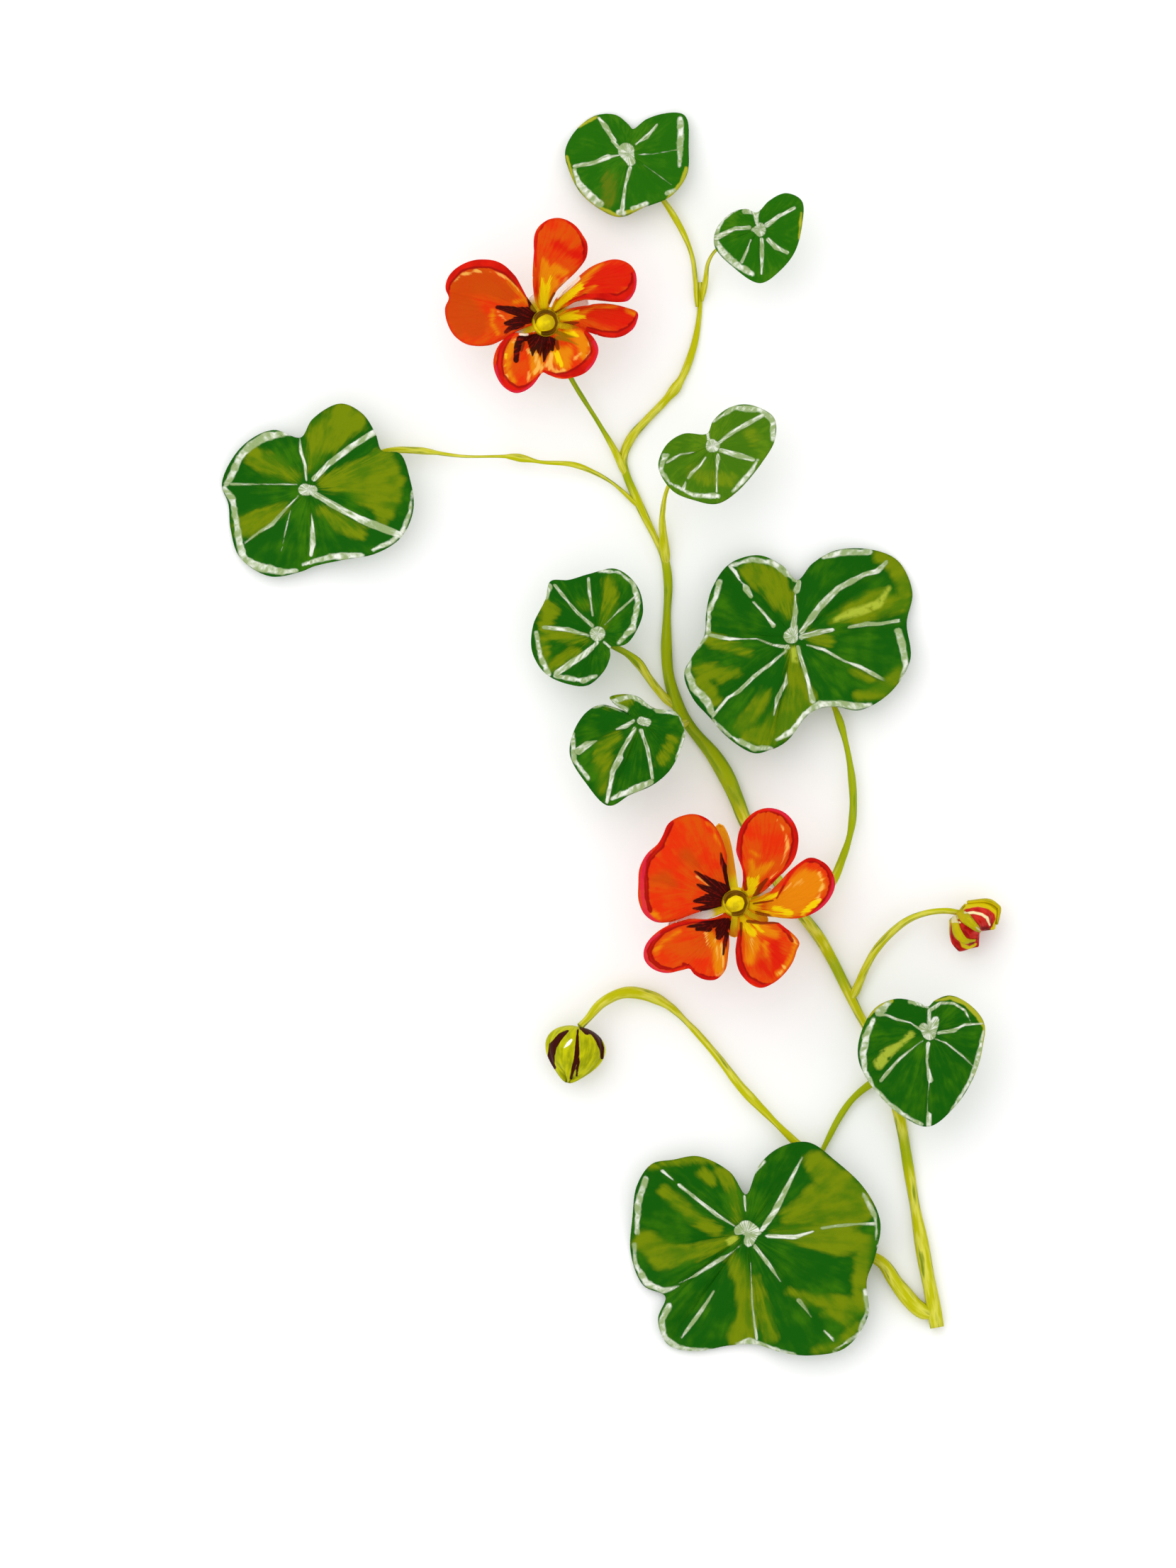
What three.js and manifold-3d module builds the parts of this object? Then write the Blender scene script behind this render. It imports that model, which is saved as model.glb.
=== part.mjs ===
// A cut spray of climbing nasturtium (Tropaeolum majus) lying on a flat surface, in millimetres.
// +Z is up. The origin is on the surface under the middle of the spray. +Y runs from the cut end of
// the stem towards its tip. One soft stem carries nine round leaves, two open flowers and two buds.
//
// The stem, its side shoot and every stalk, leaf blade, petal, calyx, flower centre and bud is a
// solid of its own, a hair's breadth clear of what carries it.

import * as THREE from "three";
import { LoftGeometry } from "three/addons/geometries/LoftGeometry.js";
import { mergeVertices } from "three/addons/utils/BufferGeometryUtils.js";
import Module from "manifold-3d";

const wasm = await Module();
wasm.setup();

// ---------------------------------------------------------------- driving dimensions

const CLEARANCE = 0.35; // between neighbouring pieces
const TUBE_STEP = 4.8; // length of one straight stretch of a stem or stalk
const STEM_SIDES = 8;
const STALK_SIDES = 6;

const BLADE_THICKNESS = 0.8;
const HUB_BOSS = 0.7; // extra thickness under the hub, where the stalk joins
const HUB_REACH = 0.09; // share of the way to the rim that the hub takes
const RIB_DEPTH = 0.75; // how far a rib stands out under the blade, beside the hub
const PUCKER = 0.045; // how far the blade swells between two ribs, as a share of its reach
const DISH = 0.07; // how far the rim stands above the hub, as a share of its reach
const RING_COUNT_LARGE = 5;
const RING_COUNT_SMALL = 4;
const LARGE_LEAF_REACH = 24;

const PETAL_THICKNESS = 0.7;
const PETAL_ROOT = 3.6; // distance of a petal's root from the flower's axis
const PETAL_ROWS = 7;

const CUP_RADIUS = 4.1; // the calyx cup's rim
const CUP_DEPTH = 8.5;
const SEPAL_WIDTH = 4.6;
const SPUR_REACH = 19; // how far the spur's tip is from the flower's axis, seen from above
const SPUR_RADIUS = 2.1;
const CENTRE_RADIUS = 2.6; // the round seed case
const COLLAR_RADIUS = 3.2; // of the low collar that the seed case stands in

const GREEN = new THREE.MeshStandardMaterial({ color: "#2f6b16", roughness: 0.62 });
const PALE_GREEN = new THREE.MeshStandardMaterial({ color: "#5f8415", roughness: 0.62 });
const STEM_GREEN = new THREE.MeshStandardMaterial({ color: "#aeb026", roughness: 0.5 });
const ORANGE = new THREE.MeshStandardMaterial({ color: "#e24606", roughness: 0.55 });
const CALYX_YELLOW = new THREE.MeshStandardMaterial({ color: "#e3c766", roughness: 0.55 });
const POLLEN_YELLOW = new THREE.MeshStandardMaterial({ color: "#d9c90f", roughness: 0.6 });
const BUD_GREEN = new THREE.MeshStandardMaterial({ color: "#b4bb14", roughness: 0.5 });
const BUD_RED = new THREE.MeshStandardMaterial({ color: "#c01a24", roughness: 0.55 });

// ---------------------------------------------------------------- the leaves

// hub: where the stalk meets the blade, seen from above. height: of the hub; a leaf without one is
// let down until its rim touches the surface. lean: rise per millimetre towards +X and +Y.
// rim: points round the blade, counterclockwise. A third value of 1 marks the end of a rib.
const LEAVES = [
  {
    name: "leaf_1", hub: [4.3, 147.5], lean: [0.06, -0.3], ripple: [4, 20], material: GREEN,
    rim: [[5.3, 153.7, 1], [4, 155], [1, 157.3], [-4, 157.2, 1], [-9, 153.5], [-11.9, 148],
      [-10.8, 143, 1], [-8, 137.5], [-3, 133.2], [2, 131.3, 1], [8, 133.7], [15, 136.7, 1],
      [19, 142], [19.4, 149, 1], [18.6, 157], [14, 157.7, 1], [9, 156.2]],
  },
  {
    name: "leaf_2", hub: [37.5, 128.2], height: 16, lean: [0.22, 0.2], ripple: [3, 80], material: GREEN,
    rim: [[36.6, 132.1, 1], [34, 133], [30, 131.9], [26.5, 128], [26.1, 123.7, 1], [31, 118.2, 1],
      [37.6, 114.3, 1], [43, 117.8], [46.3, 122.2, 1], [48.1, 129], [48, 135, 1], [44, 137], [40, 135.2]],
  },
  {
    name: "leaf_3", hub: [-77, 62], lean: [0.24, 0.05], ripple: [5, 0], material: GREEN,
    rim: [[-79.2, 75.2, 1], [-86, 77.2], [-92, 74.7], [-96.5, 70], [-99.2, 63.3, 1], [-97.5, 58.5],
      [-96.9, 52], [-94.6, 44.8, 1], [-87, 40], [-79, 41.2], [-75.5, 42.6, 1], [-69, 44],
      [-60, 45.8], [-53.5, 50, 1], [-50.5, 57], [-51.5, 65], [-54, 71.1], [-58.6, 71.9],
      [-60.2, 76.2, 1], [-63.5, 81.3], [-69, 83.8], [-76, 80]],
  },
  {
    name: "leaf_4", hub: [25.6, 73], height: 19, lean: [0.12, -0.12], ripple: [4, 50], material: PALE_GREEN,
    rim: [[24.1, 76.1, 1], [18, 75.9], [13.5, 72.8], [11.8, 67.5, 1], [15.3, 61.6, 1], [21, 59.1],
      [26.5, 58.3, 1], [31.5, 61.2], [37.8, 68.5, 1], [41.2, 74.5], [40.9, 80.2, 1], [35, 83.3],
      [30, 82.7], [25.7, 79.4]],
  },
  {
    name: "leaf_5", hub: [-3.7, 25.3], height: 13, lean: [0.16, 0.08], ripple: [4, 110], material: GREEN,
    rim: [[-0.4, 21.8, 1], [3.5, 22.7], [6.3, 26.5], [7.8, 31.5, 1], [6.3, 37.5], [1, 41.7],
      [-6, 40.4, 1], [-11, 39], [-15.7, 38.6, 1], [-16.8, 34.3], [-20, 27.5, 1], [-20.3, 21],
      [-17, 15.4, 1], [-12, 12.8], [-6.5, 12.2, 1], [-2, 16], [-0.5, 19.5]],
  },
  {
    name: "leaf_6", hub: [46.2, 24.5], lean: [-0.12, -0.2], ripple: [5, 150], material: GREEN,
    rim: [[47.1, 39, 1], [43, 42.8], [37, 45.3], [30, 43.2, 1], [25.5, 37], [23.9, 30.5],
      [23.6, 25.5, 1], [21.5, 21.3], [18.4, 15.5], [20.6, 9], [24.8, 4.2, 1], [29, -0.6],
      [36, -4.9], [40.3, -4, 1], [44.5, -1.7], [50.5, 5.4, 1], [56, 6.9], [63, 6], [71, 10.8, 1],
      [75.8, 19], [74.9, 28, 1], [76.3, 36], [72.6, 44, 1], [66, 46.8], [57, 46.6], [51, 43.2]],
  },
  {
    name: "leaf_7", hub: [7.6, 3], height: 20, lean: [0.1, 0.28], ripple: [3, 10], material: GREEN,
    rim: [[4.8, 4.8, 1], [-2.6, 7.2], [-6.5, 5.3], [-9.7, 0.5], [-10.7, -5.2, 1], [-6.8, -12.2],
      [-0.9, -18.3, 1], [4.5, -15.6], [10.4, -13, 1], [14.2, -9.8], [16.8, -5.5, 1], [18.5, 0],
      [16.3, 5.1, 1], [10.5, 6.4], [6.5, 9.3], [3, 9.9], [-0.6, 9]],
  },
  {
    name: "leaf_8", hub: [80.3, -75.3], height: 18, lean: [-0.08, 0.16], ripple: [4, 70], material: GREEN,
    rim: [[80.1, -69.3, 1], [77.5, -68.2], [72, -67.3], [66.7, -69.7, 1], [63, -76.5], [62.6, -83],
      [66.3, -90, 1], [74, -97.3], [80.4, -99.7, 1], [87.5, -94], [92.4, -85.6, 1], [94, -79.5],
      [94.4, -73.7, 1], [91, -69], [86, -66.5, 1], [82, -67.7]],
  },
  {
    name: "leaf_9", hub: [34.2, -127], lean: [0.12, 0.11], ripple: [5, 40], material: PALE_GREEN,
    rim: [[34, -117.2, 1], [30, -111.5], [22, -107.4], [15.5, -108.3], [10, -109.5, 1], [6.3, -115],
      [5.2, -123], [4.8, -132, 1], [8, -140.3], [13.6, -143.2, 1], [11.7, -149], [14.3, -155.4, 1],
      [21, -157], [30, -155.5], [37, -155.4, 1], [43, -157.2], [50, -158], [59.3, -156, 1],
      [65, -148], [64.7, -139], [66.8, -132.8], [68, -124, 1], [64, -115.5], [56.5, -108.3],
      [50, -103.9, 1], [43, -105], [37.5, -109.5]],
  },
];

// ---------------------------------------------------------------- the stem and its stalks

// The stem lies on the surface, so its axis is one radius up: [x, y, radius].
const STEM_ROUTE = [
  [82.6, -151, 1.7], [81.1, -143, 1.7], [79.4, -135, 1.7], [77.9, -127, 1.7], [76.2, -118, 1.6],
  [74.8, -109.5, 1.5], [73.4, -101, 1.4], [72, -94, 1.4], [69.7, -86, 1.4], [66, -77, 1.4],
  [62.7, -71, 1.45], [59, -63.5, 1.5], [56, -57.5, 1.45], [52.5, -51.5, 1.4], [47.5, -45, 1.45],
  [42.5, -38, 1.5], [37.8, -30, 1.6], [33.8, -22, 1.75], [31.9, -17, 1.85], [29.5, -11.5, 1.9],
  [25.9, -5.5, 1.85], [20.9, 0.5, 1.8], [17.9, 4.9, 1.7], [15.9, 9.5, 1.6], [14.5, 14.5, 1.35],
  [13.9, 21, 1.15], [14, 30, 1.05], [14.3, 38, 1.05], [13.4, 44.5, 1.05], [10.9, 50, 1],
  [8.7, 54.5, 1], [6, 60.3, 1], [3.6, 66, 1], [2.9, 70.3, 1], [4.9, 75.3, 1], [8.6, 79.6, 1.05],
  [12.5, 83.6, 1.1], [16, 87.7, 1.2], [18.9, 93, 1.3], [20.9, 99, 1.15], [22, 105, 1.05],
  [22.4, 110, 1], [22.3, 114.8, 0.8],
];

// The side shoot, which has only one bud's stalk on it: [x, y, height of its axis].
const SIDE_SHOOT = {
  radius: [1, 0.7],
  route: [[70, -86.6, 1.6], [65.3, -89.4, 1.7], [61.2, -92.9, 1.6], [57.8, -97.7, 1.5],
    [54.7, -103.6, 1.4], [52.4, -108.3, 1.3], [50.4, -113, 1.2]],
};

// Each stalk starts inside what it grows from: [x, y, height of its axis]. radius: at root and tip.
const STALKS = [
  { to: "leaf_1", radius: [0.8, 0.7], route: [[21.6, 108.5, 1.2], [21.1, 116.5, 1.6], [20.3, 121.5, 2.3],
    [18.4, 126.6, 2.8], [15.8, 131.4, 3.1], [12.6, 136.2, 3.2], [9, 141, 3], [6.3, 144.8, 2.6]] },
  { to: "leaf_2", radius: [0.7, 0.6], route: [[22.9, 110, 1.3], [23.8, 115.5, 3.4], [24.4, 119.6, 6],
    [26.6, 123, 9.3], [31.5, 125.6, 12.2]] },
  { to: "leaf_3", radius: [0.85, 0.75], route: [[7.7, 57, 1.3], [4.1, 60, 1.6], [0, 63.3, 2.2],
    [-5, 66.3, 3], [-10, 68.3, 3.6], [-18, 69.2, 4], [-26, 70.2, 4.2], [-38, 70.9, 4.2],
    [-50, 72.1, 4.2], [-58, 71.5, 4.2], [-70, 65.8, 3.4]] },
  { to: "leaf_4", radius: [0.9, 0.75], route: [[13.9, 42.5, 1.2], [13.1, 49, 2.6], [12.8, 56, 6],
    [14.6, 63.5, 10.5], [20, 70, 14.5]] },
  { to: "leaf_5", radius: [1, 0.8], route: [[15.8, 6.8, 1.6], [12.5, 10.1, 3], [9.4, 14, 4.4],
    [6.9, 17.6, 6], [3.8, 20.3, 7.8], [0, 22.4, 9.5]] },
  { to: "leaf_6", radius: [0.95, 0.8], route: [[45.2, -44.2, 1.5], [50.6, -42.6, 2.8], [55.2, -38.9, 3.4],
    [58.5, -32, 3.6], [60.6, -25.5, 3.6], [61.5, -18.5, 3.4], [61.1, -11, 3.4], [59.7, -3.2, 3.8],
    [57.2, 5, 4.4], [51, 17.5, 4.8]] },
  { to: "leaf_7", radius: [0.9, 0.75], route: [[19.6, 3.2, 1.7], [16.8, 2, 6], [12.6, 2, 12]] },
  { to: "leaf_8", radius: [1, 0.8], route: [[67, -79.6, 1.6], [70.5, -80.2, 5.5], [75.6, -78.2, 11]] },
  { to: "leaf_9", radius: [1.4, 1.1], route: [[81.9, -148.4, 1.9], [77.4, -145.8, 2.2], [72.2, -139.4, 2.5],
    [68.4, -134.3, 2.6], [60, -131, 2.6], [47, -128.6, 2.8], [39, -127.6, 3]] },
  { to: "flower_upper", radius: [0.8, 0.7], route: [[3.9, 65, 1.1], [0.9, 71.5, 2.2], [-3.6, 79.2, 4.2],
    [-9.6, 88.8, 6.8], [-14.2, 97.5, 8.8]] },
  { to: "flower_lower", radius: [1.1, 0.9], route: [[44, -40.4, 1.6], [40, -43.6, 4], [35, -44.8, 8.5]] },
  { to: "bud_red", radius: [0.9, 0.7], route: [[60.8, -67.8, 1.6], [62.7, -63.6, 2.6], [64.4, -59.6, 3.5],
    [67, -55, 4.4], [70.7, -50.8, 5.2], [75.2, -47.3, 5.9], [80, -45.5, 6.4], [85, -45, 6.8]] },
  { to: "bud_green", radius: [0.95, 1.1], route: [[52.2, -109.4, 1.6], [49.6, -106.8, 2.3],
    [46.3, -103.6, 2.8], [40, -97, 3.2], [33, -89.5, 3.2], [27, -82.4, 2.8], [20, -74.4, 2.4],
    [14, -68.8, 2.4], [8.5, -66.2, 2.8], [3, -65.8, 3.6], [-2.6, -68.5, 4.8], [-6.3, -72.6, 6.2]] },
];

// ---------------------------------------------------------------- the flowers and buds

// root: the directions between which a petal's narrow claw springs, in degrees. lift: how far the
// petal lies above its neighbours. rise: its slope. wave: the swing of its edge.
// tip: the petal's outer edge, [direction, distance from the axis], counterclockwise.
const FLOWERS = [
  {
    name: "flower_upper", at: [-16.8, 104.2, 19], spurDirection: 168,
    sepals: [[112, 8], [50, 13], [28, 12], [-12, 10], [203, 9.5]],
    petals: [
      { root: [79, 117], lift: 1.1, rise: 0.31, wave: 0.8, tip: [[66, 12.3], [59.5, 16], [58.5, 19.2],
        [62, 22.3], [67, 24], [74, 25.8], [83, 26.6], [91, 25.4], [96.5, 22.8], [98.5, 19], [98.5, 14]] },
      { root: [128, 192], lift: -0.2, rise: 0.2, wave: 1, tip: [[124, 14], [127, 18.6], [136, 23],
        [145, 25.7], [154, 27.2], [161, 26.9], [165.5, 25.4], [172, 25.8], [182, 24.7], [190, 22.9],
        [197, 19.8], [201.5, 15], [200.5, 11.4]] },
      { root: [216, 338], lift: 1.7, rise: 0.24, wave: 0.9, tip: [[199, 8.7], [204, 12.2],
        [216, 16.4], [229, 18.7], [239, 19.6], [248, 19.3], [257, 16.8], [266, 12.8], [273, 13.3],
        [284, 14.7], [297, 15.6], [309, 16.2], [322, 15.9], [334, 14.8], [343, 12.4], [351, 9.3]] },
      { root: [1, 32], lift: 0.1, rise: 0.2, wave: 0.6, tip: [[-11.5, 11], [-13.2, 15.5], [-11.5, 18.6],
        [-5, 21.9], [0.7, 23.1], [6.5, 23.3], [11, 20.3], [16.5, 16.5], [21.5, 12.6]] },
      { root: [42, 68], lift: 1.1, rise: 0.32, wave: 0.8, tip: [[31.5, 12.6],
        [26, 16.2], [18, 18.8], [15.2, 21.4], [18.5, 23.6], [24, 25.2], [30, 26], [36, 25.6],
        [42, 23.8], [46.5, 21], [50.5, 18], [54, 14]] },
    ],
  },
  {
    name: "flower_lower", at: [31.3, -43, 22], spurDirection: 160,
    sepals: [[102, 20.5], [14, 10.5], [-34, 9.5], [268, 8.5], [198, 18]],
    petals: [
      { root: [20, 68], lift: 0.9, rise: 0.3, wave: 0.8, tip: [[33, 14], [36, 17.8], [43, 21.6],
        [50, 24.2], [58, 25.8], [66, 26], [74, 24.9], [81, 22.4], [86.5, 18.4], [88.5, 13.5]] },
      { root: [110, 193], lift: 0.3, rise: 0.22, wave: 1.2, tip: [[101, 12.5], [103, 17.5],
        [107, 21.5], [114, 24.6], [122, 26], [130, 26.4], [137, 25.2], [143, 24.8], [151, 25.7],
        [160, 25.9], [169, 25.1],
        [179, 24.5], [188, 22.9], [194, 20], [195.5, 16.5], [192, 13]] },
      { root: [221, 254], lift: 0.9, rise: 0.26, wave: 0.8, tip: [[199.5, 12.5], [198.5, 18], [203.5, 24.2],
        [210, 26.9], [217, 27], [225, 25], [231, 21.8], [234.5, 20.3], [240, 20.8], [249, 20.8],
        [256.5, 19.6], [261, 16.5], [260.5, 12]] },
      { root: [-82, -48], lift: 0.3, rise: 0.24, wave: 0.8, tip: [[-89.5, 11.5], [-88, 16],
        [-82, 19.8], [-74, 22.3], [-65, 22.4], [-56, 21.8], [-46, 20.8], [-38, 19.6], [-31.5, 18.8],
        [-27.5, 15.6], [-25, 12]] },
      { root: [-28, 11], lift: 1.2, rise: 0.34, wave: 0.8, tip: [[-18, 11.5], [-13, 16.3], [-6, 20.4],
        [2, 23.6], [10, 25.5], [18, 25.6], [26, 24.3], [31.5, 21.6], [30.5, 17.2], [23.5, 13.5]] },
    ],
  },
];

// A bud lies on its side. base: where its stalk meets it. heading: the way it points, in degrees.
const BUD_GREEN_SHAPE = { base: [-8.1, -74.4, 7.2], heading: 257.5, length: 13.9, radius: 7.7, squash: 0.93 };
const BUD_RED_SHAPE = { base: [88.3, -45.5, 6.9], heading: -43, length: 7.2, radius: 7, squash: 0.9 };
const SEPAL_COUNT = 5;
const SEAM_DEPTH = 0.13; // of a closed bud's seams, as a share of its radius
const BUD_STRAP_THICKNESS = 0.7;
const BUD_STRAP_SINK = 0.6;
const BUD_BASE_RADIUS = 2.8;
const BUD_STRAP_TURNS = [-1.4, 0, 0.63, -2.6, 2.3]; // where the sepals lie round the red bud, in radians

// ---------------------------------------------------------------- solids

const UP = new THREE.Vector3(0, 0, 1);
const smooth = (x, a, b) => THREE.MathUtils.smoothstep(x, a, b);
const mix = THREE.MathUtils.lerp;
const radians = THREE.MathUtils.degToRad;

function manifoldOf(geometry) {
  const bare = new THREE.BufferGeometry().setAttribute("position", geometry.getAttribute("position"));
  const merged = mergeVertices(geometry.index ? bare.setIndex(geometry.index) : bare, 1e-4);
  const mesh = { numProp: 3, vertProperties: merged.attributes.position.array, triVerts: null };
  mesh.triVerts = new Uint32Array(merged.index.array);
  return new wasm.Manifold(new wasm.Mesh(mesh));
}

function geometryOf(solid) {
  const { vertProperties, triVerts } = solid.getMesh();
  const geometry = new THREE.BufferGeometry();
  geometry.setAttribute("position", new THREE.BufferAttribute(vertProperties, 3));
  return geometry.setIndex(new THREE.BufferAttribute(triVerts, 1));
}

const union = (solids) => solids.reduce((whole, next) => whole.add(next));

function largestPiece(solid) {
  return solid.decompose().reduce((best, next) => (next.volume() > best.volume() ? next : best));
}

// Two faces with the same triangles, joined by a wall along their boundary.
function slab(top, bottom, triangles) {
  const count = top.length;
  const edges = new Set(triangles.flatMap(([a, b, c]) => [`${a} ${b}`, `${b} ${c}`, `${c} ${a}`]));
  const walls = [];
  for (const edge of edges) {
    const [p, q] = edge.split(" ").map(Number);
    if (!edges.has(`${q} ${p}`)) walls.push([p, p + count, q + count], [p, q + count, q]);
  }
  const under = triangles.map(([a, b, c]) => [a + count, c + count, b + count]);
  const geometry = new THREE.BufferGeometry().setFromPoints([...top, ...bottom]);
  return manifoldOf(geometry.setIndex([...triangles, ...under, ...walls].flat()));
}

// The triangles of a grid of points, row by row. A round grid closes on itself across its rows.
function gridTriangles(rows, columns, round = false) {
  const triangles = [];
  for (let i = 0; i < rows - 1; i++)
    for (let j = 0; j < (round ? columns : columns - 1); j++) {
      const next = (j + 1) % columns;
      const [a, b, c, d] = [[i, j], [i + 1, j], [i + 1, next], [i, next]].map(([r, k]) => r * columns + k);
      triangles.push([a, b, c], [a, c, d]);
    }
  return triangles;
}

// A round tube along a curve. radiusAt takes the share of the way along it. extra adds to it all round
// and at both ends, to cut its clearance out of a neighbour.
function tube(curve, radiusAt, sides, extra = 0) {
  const steps = Math.max(3, Math.ceil(curve.getLength() / TUBE_STEP));
  const flat = Math.cos(Math.PI / sides);
  const sections = [];
  let upward = UP.clone();
  for (let i = 0; i <= steps; i++) {
    const along = curve.getTangentAt(i / steps);
    const level = UP.clone().addScaledVector(along, -along.z);
    if (level.length() < 0.5) level.copy(upward).addScaledVector(along, -along.dot(upward));
    upward = level.normalize();
    const sideways = new THREE.Vector3().crossVectors(upward, along);
    const beyond = i === steps ? extra : i === 0 ? -extra : 0;
    const centre = curve.getPointAt(i / steps).addScaledVector(along, beyond);
    const ring = [];
    for (let k = 0; k < sides; k++) {
      const turn = ((k + 0.5) / sides) * 2 * Math.PI - Math.PI / 2;
      const reach = (radiusAt(i / steps) + extra) / flat;
      const point = centre.clone().addScaledVector(sideways, reach * Math.cos(turn));
      ring.push(point.addScaledVector(upward, reach * Math.sin(turn)));
    }
    sections.push(ring);
  }
  return manifoldOf(new LoftGeometry(sections, { closed: true, capStart: true, capEnd: true }));
}

const curveThrough = (points) => new THREE.CatmullRomCurve3(points.map((p) => new THREE.Vector3(...p)));

// ---------------------------------------------------------------- leaf blades

// The blade's ribs and the spokes between them. Each spoke knows its end on the rim, whether it is
// a rib, and how far it lies between the two ribs beside it, from 0 to 1.
function spokesOf(leaf) {
  const count = leaf.rim.length;
  const rim = new THREE.CatmullRomCurve3(leaf.rim.map(([x, y]) => new THREE.Vector3(x, y, 0)), true);
  const ribs = leaf.rim.flatMap((point, i) => (point[2] ? [i] : []));
  return Array.from({ length: 2 * count }, (_, k) => {
    const place = k / 2;
    const before = ribs.findLast((i) => i <= place) ?? ribs.at(-1) - count;
    const after = ribs.find((i) => i > place) ?? ribs[0] + count;
    const end = rim.getPoint(place / count);
    return { end, rib: place === before, between: (place - before) / (after - before) };
  });
}

// A point of the blade's middle surface, with the hub at height 0.
function bladePoint(leaf, spoke, share) {
  const [hubX, hubY] = leaf.hub;
  const dx = (spoke.end.x - hubX) * share;
  const dy = (spoke.end.y - hubY) * share;
  const reach = Math.hypot(spoke.end.x - hubX, spoke.end.y - hubY);
  const turn = Math.atan2(dy, dx);
  const swell = PUCKER * reach * Math.sin(Math.PI * spoke.between) * Math.sin(2.4 * share);
  const ripple = 0.035 * reach * share ** 3 * Math.sin(leaf.ripple[0] * turn + radians(leaf.ripple[1]));
  const dish = DISH * reach * share ** 2;
  const height = dx * leaf.lean[0] + dy * leaf.lean[1] + dish + swell + ripple;
  return new THREE.Vector3(hubX + dx, hubY + dy, height);
}

// The blade's two faces. extra thickens it all over, to cut its clearance out of its stalk.
function bladeSolid(leaf, hubHeight, extra = 0) {
  const spokes = spokesOf(leaf);
  const normal = new THREE.Vector3(-leaf.lean[0], -leaf.lean[1], 1).normalize();
  const largest = Math.max(...spokes.map(({ end }) => Math.hypot(end.x - leaf.hub[0], end.y - leaf.hub[1])));
  const ringCount = largest > LARGE_LEAF_REACH ? RING_COUNT_LARGE : RING_COUNT_SMALL;
  const top = [];
  const bottom = [];
  const add = (spoke, share, below) => {
    const point = bladePoint(leaf, spoke, share).add(new THREE.Vector3(0, 0, hubHeight));
    top.push(point.clone().addScaledVector(normal, BLADE_THICKNESS / 2 + extra));
    bottom.push(point.addScaledVector(normal, -BLADE_THICKNESS / 2 - below - extra));
  };
  for (let ring = 0; ring < ringCount; ring++) {
    const share = mix(HUB_REACH, 1, ring / (ringCount - 1));
    const boss = ring === 0 ? HUB_BOSS : 0;
    for (const spoke of spokes) add(spoke, share, boss || (spoke.rib ? RIB_DEPTH * (1 - 0.8 * share) : 0));
  }
  add(spokes[0], 0, HUB_BOSS);
  const triangles = gridTriangles(ringCount, spokes.length, true);
  const hub = top.length - 1;
  spokes.forEach((_, j) => triangles.push([hub, j, (j + 1) % spokes.length]));
  return slab(top, bottom, triangles);
}

// The height of a leaf's hub. A leaf that isn't held up lies with the lowest point of its rim at 0.
function hubHeightOf(leaf) {
  return leaf.height ?? -bladeSolid(leaf, 0).boundingBox().min[2];
}

// ---------------------------------------------------------------- flowers

// A point of a petal's middle surface. share runs from its root to its edge, and across from 0 to 1.
function petalPoint(petal, edge, share, across) {
  const { x: edgeDegrees, y: reach } = edge.getPoint(across);
  const side = 2 * across - 1;
  const rootDegrees = mix(...petal.root, across);
  const turn = radians(mix(rootDegrees, edgeDegrees, smooth(share, 0, 1)));
  const distance = mix(PETAL_ROOT, reach, share);
  const lift = petal.lift * smooth(share, 0.1, 0.5);
  const slope = petal.rise * (distance - PETAL_ROOT) * (1 - 0.35 * share);
  const hollow = 0.9 * side ** 2 * smooth(share, 0, 0.5) * (1 - 0.5 * share);
  const wave = petal.wave * share ** 3 * Math.sin(2.6 * Math.PI * across + petal.lift * 3);
  const height = lift + slope + hollow + wave;
  return new THREE.Vector3(distance * Math.cos(turn), distance * Math.sin(turn), height);
}

// A thin sheet of even thickness about pointAt(share, across).
function thinSheet(pointAt, rows, columns, thickness) {
  const step = 1e-3;
  const top = [];
  const bottom = [];
  for (let i = 0; i < rows; i++)
    for (let j = 0; j < columns; j++) {
      const share = i / (rows - 1);
      const across = j / (columns - 1);
      const outward = pointAt(share + step, across).sub(pointAt(share - step, across));
      const sideways = pointAt(share, Math.min(1, across + step));
      sideways.sub(pointAt(share, Math.max(0, across - step)));
      const normal = outward.cross(sideways).normalize();
      const point = pointAt(share, across);
      top.push(point.clone().addScaledVector(normal, thickness / 2));
      bottom.push(point.clone().addScaledVector(normal, -thickness / 2));
    }
  return slab(top, bottom, gridTriangles(rows, columns));
}

function petalSolid(petal) {
  const edge = new THREE.SplineCurve(petal.tip.map(([degrees, reach]) => new THREE.Vector2(degrees, reach)));
  const pointAt = (share, across) => petalPoint(petal, edge, share, across);
  return thinSheet(pointAt, PETAL_ROWS, petal.tip.length, PETAL_THICKNESS);
}

// A pointed sepal that spreads from the rim of the cup, under the gap between two petals.
function sepalSolid(degrees, reach) {
  const rows = 5;
  const columns = 3;
  const root = CUP_RADIUS - 1.4;
  const pointAt = (share, across) => {
    const halfWidth = (SEPAL_WIDTH / 2) * Math.sqrt(Math.max(0, 1.04 - share ** 4)) * (0.55 + 0.6 * share);
    const distance = mix(root, reach, share);
    const offset = halfWidth * (2 * across - 1);
    const height = -1.6 + 0.07 * distance - 0.9 * share ** 2 + 0.3 * (2 * across - 1) ** 2;
    return new THREE.Vector3(distance, offset, height).applyAxisAngle(UP, radians(degrees));
  };
  return thinSheet(pointAt, rows, columns, PETAL_THICKNESS);
}

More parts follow.
